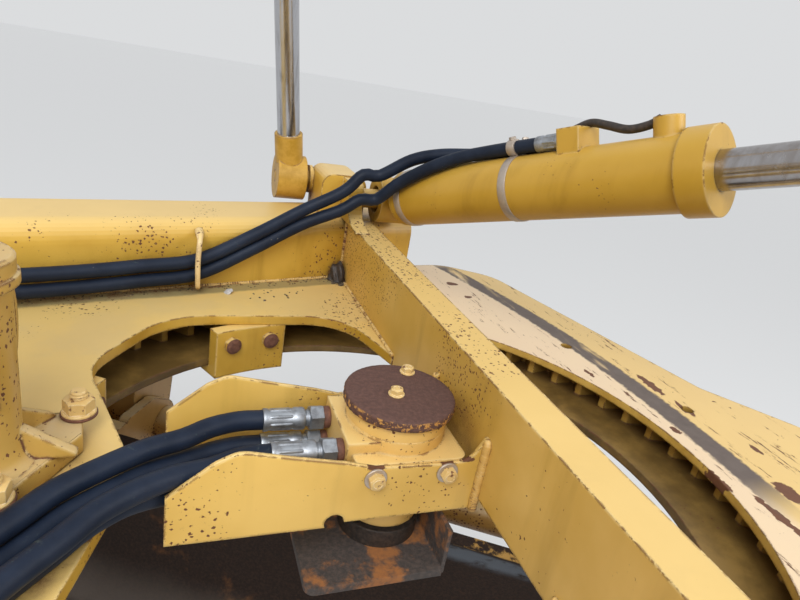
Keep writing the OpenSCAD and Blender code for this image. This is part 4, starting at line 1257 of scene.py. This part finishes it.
hose_staple()
print("bent rod stands out", max(y for _, y, _ in STAPLE_PATH), "mm")

# %% [markdown]
# ## Shapes laid along lines
# Weld beads, rows of nuts and crumbs of dirt all repeat one small shape along a line, so they are work for
# Geometry Nodes. The three trees share a trunk: a line is cut into even steps, a shape is set on each, and
# the copies are made real and given a finish. Each tree then adds its own middle between steps and copies.

# %% The trunk that every tree shares
def wire(tree, *rows):
    """Links the rows of a table: a node, its output, another node and its input."""
    for start, output, end, into in rows:
        tree.links.new(start.outputs[output], end.inputs[into])


def line_tree(name, inputs, step, smooth=False):
    """Makes a tree from a table of inputs and returns it with the nodes that its middle needs."""
    tree = bpy.data.node_groups.new(name, "GeometryNodeTree")
    face = tree.interface
    face.new_socket("Geometry", in_out="INPUT", socket_type="NodeSocketGeometry")
    for label, kind, value in inputs:
        socket = face.new_socket(label, in_out="INPUT", socket_type="NodeSocket" + kind)
        if value is not None:
            socket.default_value = value
    face.new_socket("Geometry", in_out="OUTPUT", socket_type="NodeSocketGeometry")
    given, made = tree.nodes.new("NodeGroupInput"), tree.nodes.new("NodeGroupOutput")
    curve = tree.nodes.new("GeometryNodeMeshToCurve")
    steps = tree.nodes.new("GeometryNodeResampleCurve")
    steps.mode = "COUNT" if step == "Count" else "LENGTH"
    lay = tree.nodes.new("GeometryNodeInstanceOnPoints")
    real = tree.nodes.new("GeometryNodeRealizeInstances")
    coat = tree.nodes.new("GeometryNodeSetMaterial")
    last = real
    if smooth:
        last = tree.nodes.new("GeometryNodeSetShadeSmooth")
        wire(tree, (real, "Geometry", last, "Geometry"))
    wire(tree, (given, "Geometry", curve, "Mesh"), (curve, "Curve", steps, "Curve"),
         (given, step, steps, "Count" if step == "Count" else "Length"), (lay, "Instances", real, "Geometry"),
         (last, "Geometry", coat, "Geometry"), (given, "Finish", coat, "Material"),
         (coat, "Geometry", made, "Geometry"))
    return tree, given, steps, lay


def random_vector(tree, low, high):
    node = tree.nodes.new("FunctionNodeRandomValue")
    node.data_type = "FLOAT_VECTOR"
    node.inputs[0].default_value = low
    node.inputs[1].default_value = high
    return node


def ico_ball(tree, subdivisions):
    ball = tree.nodes.new("GeometryNodeMeshIcoSphere")
    ball.inputs["Subdivisions"].default_value = subdivisions
    return ball


def run_tree(name, tree, lines, body, slot, **values):
    """Lays a tree along open lines of points and keeps the result as a plain mesh."""
    points, edges = [], []
    for line in lines:
        edges += [(len(points) + k, len(points) + k + 1) for k in range(len(line) - 1)]
        points += line
    mesh = bpy.data.meshes.new(name + "_lines")
    mesh.from_pydata(points, edges, [])
    guide = bpy.data.objects.new(name + "_lines", mesh)
    bpy.context.scene.collection.objects.link(guide)
    modifier = guide.modifiers.new("lay", "NODES")
    modifier.node_group = tree
    for socket in tree.interface.items_tree:
        if socket.in_out == "INPUT" and socket.name in values:
            modifier[socket.identifier] = values[socket.name]
    bpy.context.view_layer.update()
    result = bpy.data.meshes.new_from_object(guide.evaluated_get(bpy.context.evaluated_depsgraph_get()))
    guide.modifiers.remove(modifier)
    bpy.data.objects.remove(guide)
    result.name = name
    piece = bpy.data.objects.new(name, result)
    bpy.context.scene.collection.objects.link(piece)
    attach(piece, body)
    return len(result.polygons)


print("trunk ready")

# %% [markdown]
# ## Weld beads
# A weld is a row of overlapping ripples laid along a seam. A small flattened ball sits at each step, turned
# along the seam and a little different in size. The same tree lays every seam. Its inputs are the step, the
# ball's radius and a seed.

# %% A node tree that lays a bead
def bead_tree():
    inputs = [("Step", "Float", 0.006), ("Radius", "Float", 0.005), ("Seed", "Int", 1),
              ("Finish", "Material", None)]
    tree, given, steps, lay = line_tree("weld_bead", inputs, "Step", smooth=True)
    ball = ico_ball(tree, 2)
    tangent = tree.nodes.new("GeometryNodeInputTangent")
    turn = tree.nodes.new("FunctionNodeAlignRotationToVector")
    turn.axis = "X"
    size = random_vector(tree, (0.75, 0.9, 0.8), (1.05, 1.15, 1.1))
    wire(tree, (given, "Radius", ball, "Radius"), (tangent, 0, turn, "Vector"), (given, "Seed", size, "Seed"),
         (steps, "Curve", lay, "Points"), (ball, "Mesh", lay, "Instance"),
         (turn, "Rotation", lay, "Rotation"), (size, 0, lay, "Scale"))
    return tree


weld_bead = bead_tree()
print("inputs:", [item.name for item in weld_bead.interface.items_tree if item.in_out == "INPUT"])

# %% Seams on the drawbar
WEB_AT_CROSS = 690
BEAM_SLOPE = math.tan(math.radians(15.3))
BEAM_TOP = 170
CROSS_FRONT = -100
BLOCK_FRONT = -39


def web_y(x):
    return WEB_AT_CROSS - (x - CROSS_FRONT) * BEAM_SLOPE


def drawbar_seams():
    seams = []
    for way in (-1, 1):
        seams.append([at(x, way * (web_y(x) - 1), PLATE_TOP) for x in range(CROSS_FRONT + 6, 900, 40)])
        seams.append([at(CROSS_FRONT + 1, way * y, PLATE_TOP) for y in range(280, 686, 20)])
        seams.append([at(CROSS_FRONT + 1, way * (WEB_AT_CROSS - 1), z) for z in range(32, BEAM_TOP, 12)])
        seams.append([at(BLOCK_FRONT, way * y, BEAM_TOP) for y in range(756, 850, 12)])
    laid = run_tree("frame_beads", weld_bead, seams, "drawbar", "yellow_paint",
                    Step=0.0055, Radius=0.0048, Seed=3, Finish=bead_paint)
    thick = [[at(CROSS_FRONT + 2, way * (GUARD_OUT + 1), z) for z in range(-11, 100, 8)] for way in (-1, 1)]
    laid += run_tree("guard_beads", weld_bead, thick, "drawbar", "yellow_paint",
                     Step=0.003, Radius=0.0072, Seed=5, Finish=bead_paint)
    return laid


print("faces in the beads:", drawbar_seams())

# %% Seams on the circle and the blade
CIRCLE_TURN = math.radians(58)
ARM_Y, ARM_HALF = 740, 40
LIP_UNDER = -72
BELLY_X, BLADE_MID_Z, BLADE_R, BLADE_BACK_R = -259.2, -517.5, 420, 442
RAIL_HEIGHTS, RAIL_HALF = (-400, -640), 8
RAIL_BEAD, RAIL_PITCH = 120, 240


def at_blade(x, y, z):
    """A place in the blade's own frame, which turns with the circle."""
    return at(x * math.cos(CIRCLE_TURN) - y * math.sin(CIRCLE_TURN),
              x * math.sin(CIRCLE_TURN) + y * math.cos(CIRCLE_TURN), z)


def blade_back(z):
    return BELLY_X + BLADE_R - math.sqrt(BLADE_BACK_R ** 2 - (z - BLADE_MID_Z) ** 2)


def moving_seams():
    arms = [[at_blade(x, way * (ARM_Y + side * ARM_HALF), LIP_UNDER) for x in range(-380, -120, 30)]
            for way in (-1, 1) for side in (-1, 1)]
    laid = run_tree("arm_beads", weld_bead, arms, "circle", "yellow_paint",
                    Step=0.009, Radius=0.007, Seed=7, Finish=bead_paint)
    rails = []
    for z in (mid + edge for mid in RAIL_HEIGHTS for edge in (-RAIL_HALF, RAIL_HALF)):
        for start in range(-1360, 1300, RAIL_PITCH):
            rails.append([at_blade(blade_back(z), y, z) for y in range(start, start + RAIL_BEAD + 1, 20)])
    laid += run_tree("rail_beads", weld_bead, rails, "blade", "yellow_paint",
                     Step=0.010, Radius=0.007, Seed=9, Finish=blade_paint)
    return laid


print("faces in the moving beads:", moving_seams())

# %% [markdown]
# ## Edge bolts
# The cutting edge is held by a row of plow bolts, whose flat heads lie in the edge and whose nuts show
# behind. They repeat at one pitch, so a second small tree copies one turned shape along a line.

# %% A node tree that copies one shape along a line
def row_tree():
    inputs = [("Pitch", "Float", 0.152), ("Shape", "Object", None), ("Finish", "Material", None)]
    tree, given, steps, lay = line_tree("nut_row", inputs, "Pitch")
    shape = tree.nodes.new("GeometryNodeObjectInfo")
    wire(tree, (given, "Shape", shape, "Object"), (steps, "Curve", lay, "Points"),
         (shape, "Geometry", lay, "Instance"))
    return tree


nut_row = row_tree()
print("row tree ready")

# %% Edge bolts
BLADE_HALF, LAP_HALF = 282.5, 30
EDGE_TILT = math.asin(BLADE_HALF / BLADE_R) - math.asin(LAP_HALF / BLADE_R)
FOOT_X, FOOT_Z = -150, -800
BOLT_REACH, BOLT_UP, BOLT_PITCH = 1760, 30, 0.152
EDGE_FACE, EDGE_BACK = 16, -22.5


def at_edge(out, y, up):
    """A place on the cutting edge: out from its back face, along the blade and up its slope."""
    return at_blade(FOOT_X + out * math.cos(EDGE_TILT) - up * math.sin(EDGE_TILT), y,
                    FOOT_Z + out * math.sin(EDGE_TILT) + up * math.cos(EDGE_TILT))


def edge_bolts():
    out_way = at_edge(1, 0, 0) - at_edge(0, 0, 0)
    head, nut = bmesh.new(), bmesh.new()
    turned(head, [(12, -1), (12, 1), (9.5, 3.6), (5, 5.2), (1, 5.6)], facing((0, 0, 0), out_way), 16)
    place = facing((0, 0, 0), -out_way)
    hexagon(nut, 16, 0, 14, place, 24)
    turned(nut, [(7, 13), (7.5, 14), (7.5, 21), (5, 23)], place, 12)
    rows = [("edge_bolt_heads", finished("edge_head", head, edge_steel), EDGE_FACE, edge_steel),
            ("edge_bolt_nuts", finished("edge_nut", nut, rusty_bolt), EDGE_BACK, rusty_bolt)]
    count = 0
    for name, shape, out, finish in rows:
        line = [at_edge(out, -BOLT_REACH, BOLT_UP), at_edge(out, BOLT_REACH, BOLT_UP)]
        count += run_tree(name, nut_row, [line], "blade", "wear_metal", Pitch=BOLT_PITCH, Shape=shape,
                          Finish=finish)
        bpy.data.objects.remove(shape)
    return count


print("faces in the edge bolts:", edge_bolts())

# %% [markdown]
# ## Bands on the cylinder
# Two grey bands go round the long barrel. A band is a thin ring that stands just proud of the paint, so it is
# turned, and the second one has a small clamp over each of the two hoses.

# %% Cylinder bands
BARREL_RADIUS = 63.5
BANDS_AT = (95, 390)
CLAMP_TURNS = (-13, 12)
BAND = [(-1, -9), (1.4, -9), (2, -8), (2, 8), (1.4, 9), (-1, 9)]
CLAMP = [(14, -9), (15.4, -9), (16, -8), (16, 8), (15.4, 9), (14, 9)]


def cylinder_bands():
    bm = bmesh.new()
    for along in BANDS_AT:
        place = facing(at(*SHIFT_BALL) + along / 1000 * SHIFT_WAY, SHIFT_WAY)
        turned(bm, [(BARREL_RADIUS + out, z) for out, z in BAND], place, 72)
    for turn in CLAMP_TURNS:
        a = math.radians(turn)
        out = math.cos(a) * SHIFT_UP + math.sin(a) * SHIFT_FAR
        turned(bm, CLAMP, facing(on_barrel(BANDS_AT[1], 80, turn), SHIFT_WAY))
        hexagon(bm, 7, 0, 6, facing(on_barrel(BANDS_AT[1], 95, turn), out), 24)
    piece = finished("cylinder_bands", bm, worn_washer)
    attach(piece, "centre_shift_barrel")


cylinder_bands()
print("bands:", len(BANDS_AT))

# %% [markdown]
# ## Dirt
# Grease and grit collect where nothing wipes them away: along the foot of the web, in the corner by the
# cross beam and round the studs. Crumbs are small balls thrown along a line with a fixed seed, so the same
# dirt comes back each run. A black lump fills the corner itself.

# %% A node tree that throws grit along a line
def grit_tree():
    inputs = [("Count", "Int", 60), ("Size", "Float", 0.004), ("Spread", "Float", 0.02), ("Seed", "Int", 1),
              ("Finish", "Material", None)]
    tree, given, steps, lay = line_tree("grit", inputs, "Count")
    throw = random_vector(tree, (-1, -1, 0), (1, 1, 0.02))
    wide = tree.nodes.new("ShaderNodeVectorMath")
    wide.operation = "SCALE"
    move = tree.nodes.new("GeometryNodeSetPosition")
    ball = ico_ball(tree, 1)
    size = random_vector(tree, (0.3, 0.3, 0.2), (1.3, 1.1, 0.7))
    turn = random_vector(tree, (0, 0, 0), (0.4, 0.4, 6.28))
    wire(tree, (given, "Seed", throw, "Seed"), (throw, 0, wide, 0), (given, "Spread", wide, "Scale"),
         (steps, "Curve", move, "Geometry"), (wide, "Vector", move, "Offset"),
         (given, "Size", ball, "Radius"), (given, "Seed", size, "Seed"), (given, "Seed", turn, "Seed"),
         (move, "Geometry", lay, "Points"),
         (ball, "Mesh", lay, "Instance"), (turn, 0, lay, "Rotation"), (size, 0, lay, "Scale"))
    return tree


def dirt_finish():
    f = Finish("packed_dirt", 0.95)
    f.colour(f.blend((0.035, 0.028, 0.020), (0.17, 0.13, 0.085), f.patches(0.35, 0.65, 45, 5, 0.6)))
    f.bump(f.noise(220, 6, 0.7), 0.001, 0.8)
    return f.material


def pebble_finish():
    f = Finish("pale_pebble", 0.9)
    f.colour(f.blend((0.42, 0.40, 0.38), (0.62, 0.60, 0.58), f.noise(160, 5, 0.6)))
    f.bump(f.noise(300, 4, 0.6), 0.0005, 0.5)
    return f.material


packed_dirt = dirt_finish()
pale_pebble = pebble_finish()
grit = grit_tree()
print("dirt finishes:", packed_dirt.name, pale_pebble.name)

# %% Grit along the webs and in the corners
WEB_FOOT = 13


def lay_grit():
    count = 0
    for way, side in ((-1, "right"), (1, "left")):
        foot = [at(x, way * (web_y(x) - WEB_FOOT), PLATE_TOP) for x in range(CROSS_FRONT + 20, 780, 40)]
        count += run_tree(f"web_grit_{side}", grit, [foot], "drawbar", "wear_metal",
                          Count=260, Size=0.0022, Spread=0.016, Seed=11 + way, Finish=packed_dirt)
        corner = [at(CROSS_FRONT + 16, way * y, PLATE_TOP) for y in (640, 655, 670)]
        count += run_tree(f"corner_grit_{side}", grit, [corner], "drawbar", "wear_metal",
                          Count=70, Size=0.006, Spread=0.014, Seed=21 + way, Finish=packed_dirt)
    loose = [at(120, -545, PLATE_TOP), at(20, -585, PLATE_TOP)]
    count += run_tree("loose_grit", grit, [loose], "drawbar", "wear_metal",
                      Count=18, Size=0.0030, Spread=0.035, Seed=33, Finish=packed_dirt)
    pebble = [at(176, -566, PLATE_TOP + 3), at(180, -566, PLATE_TOP + 3)]
    count += run_tree("pale_stone", grit, [pebble], "drawbar", "wear_metal",
                      Count=2, Size=0.011, Spread=0.003, Seed=4, Finish=pale_pebble)
    return count


print("faces in the grit:", lay_grit())

# %% The black lump in the corner
LUMP_HALF = (0.022, 0.026, 0.040)
OFF_CROSS, OFF_PLATE = 0.0005, 0.0003


def grease_lump():
    bm = bmesh.new()
    centre = at(CROSS_FRONT + 14, -WEB_AT_CROSS + 22, PLATE_TOP)
    corner = at(CROSS_FRONT, -WEB_AT_CROSS, PLATE_TOP)
    bmesh.ops.create_icosphere(bm, subdivisions=4, radius=1)
    for v in bm.verts:
        wave = 1 + 0.22 * math.sin(7 * v.co.x + 3 * v.co.y) * math.cos(5 * v.co.y + 4 * v.co.z)
        x, y, z = (c * half * wave for c, half in zip(v.co, LUMP_HALF))
        spot = centre + Vector((x, y, max(z, -0.002)))
        spot.x = max(spot.x, corner.x + OFF_CROSS)
        spot.y = max(spot.y, corner.y + OFF_CROSS + (spot.x - corner.x) * BEAM_SLOPE)
        spot.z = max(spot.z, corner.z + OFF_PLATE)
        v.co = spot
    piece = finished("grease_lump", bm, greasy_metal, sharp=80)
    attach(piece, "drawbar")


grease_lump()
print("lump sits in the right inner corner")

# %% [markdown]
# ## The end
# Dressing a part must not change its size.

# %% Finish
print("dressing done")
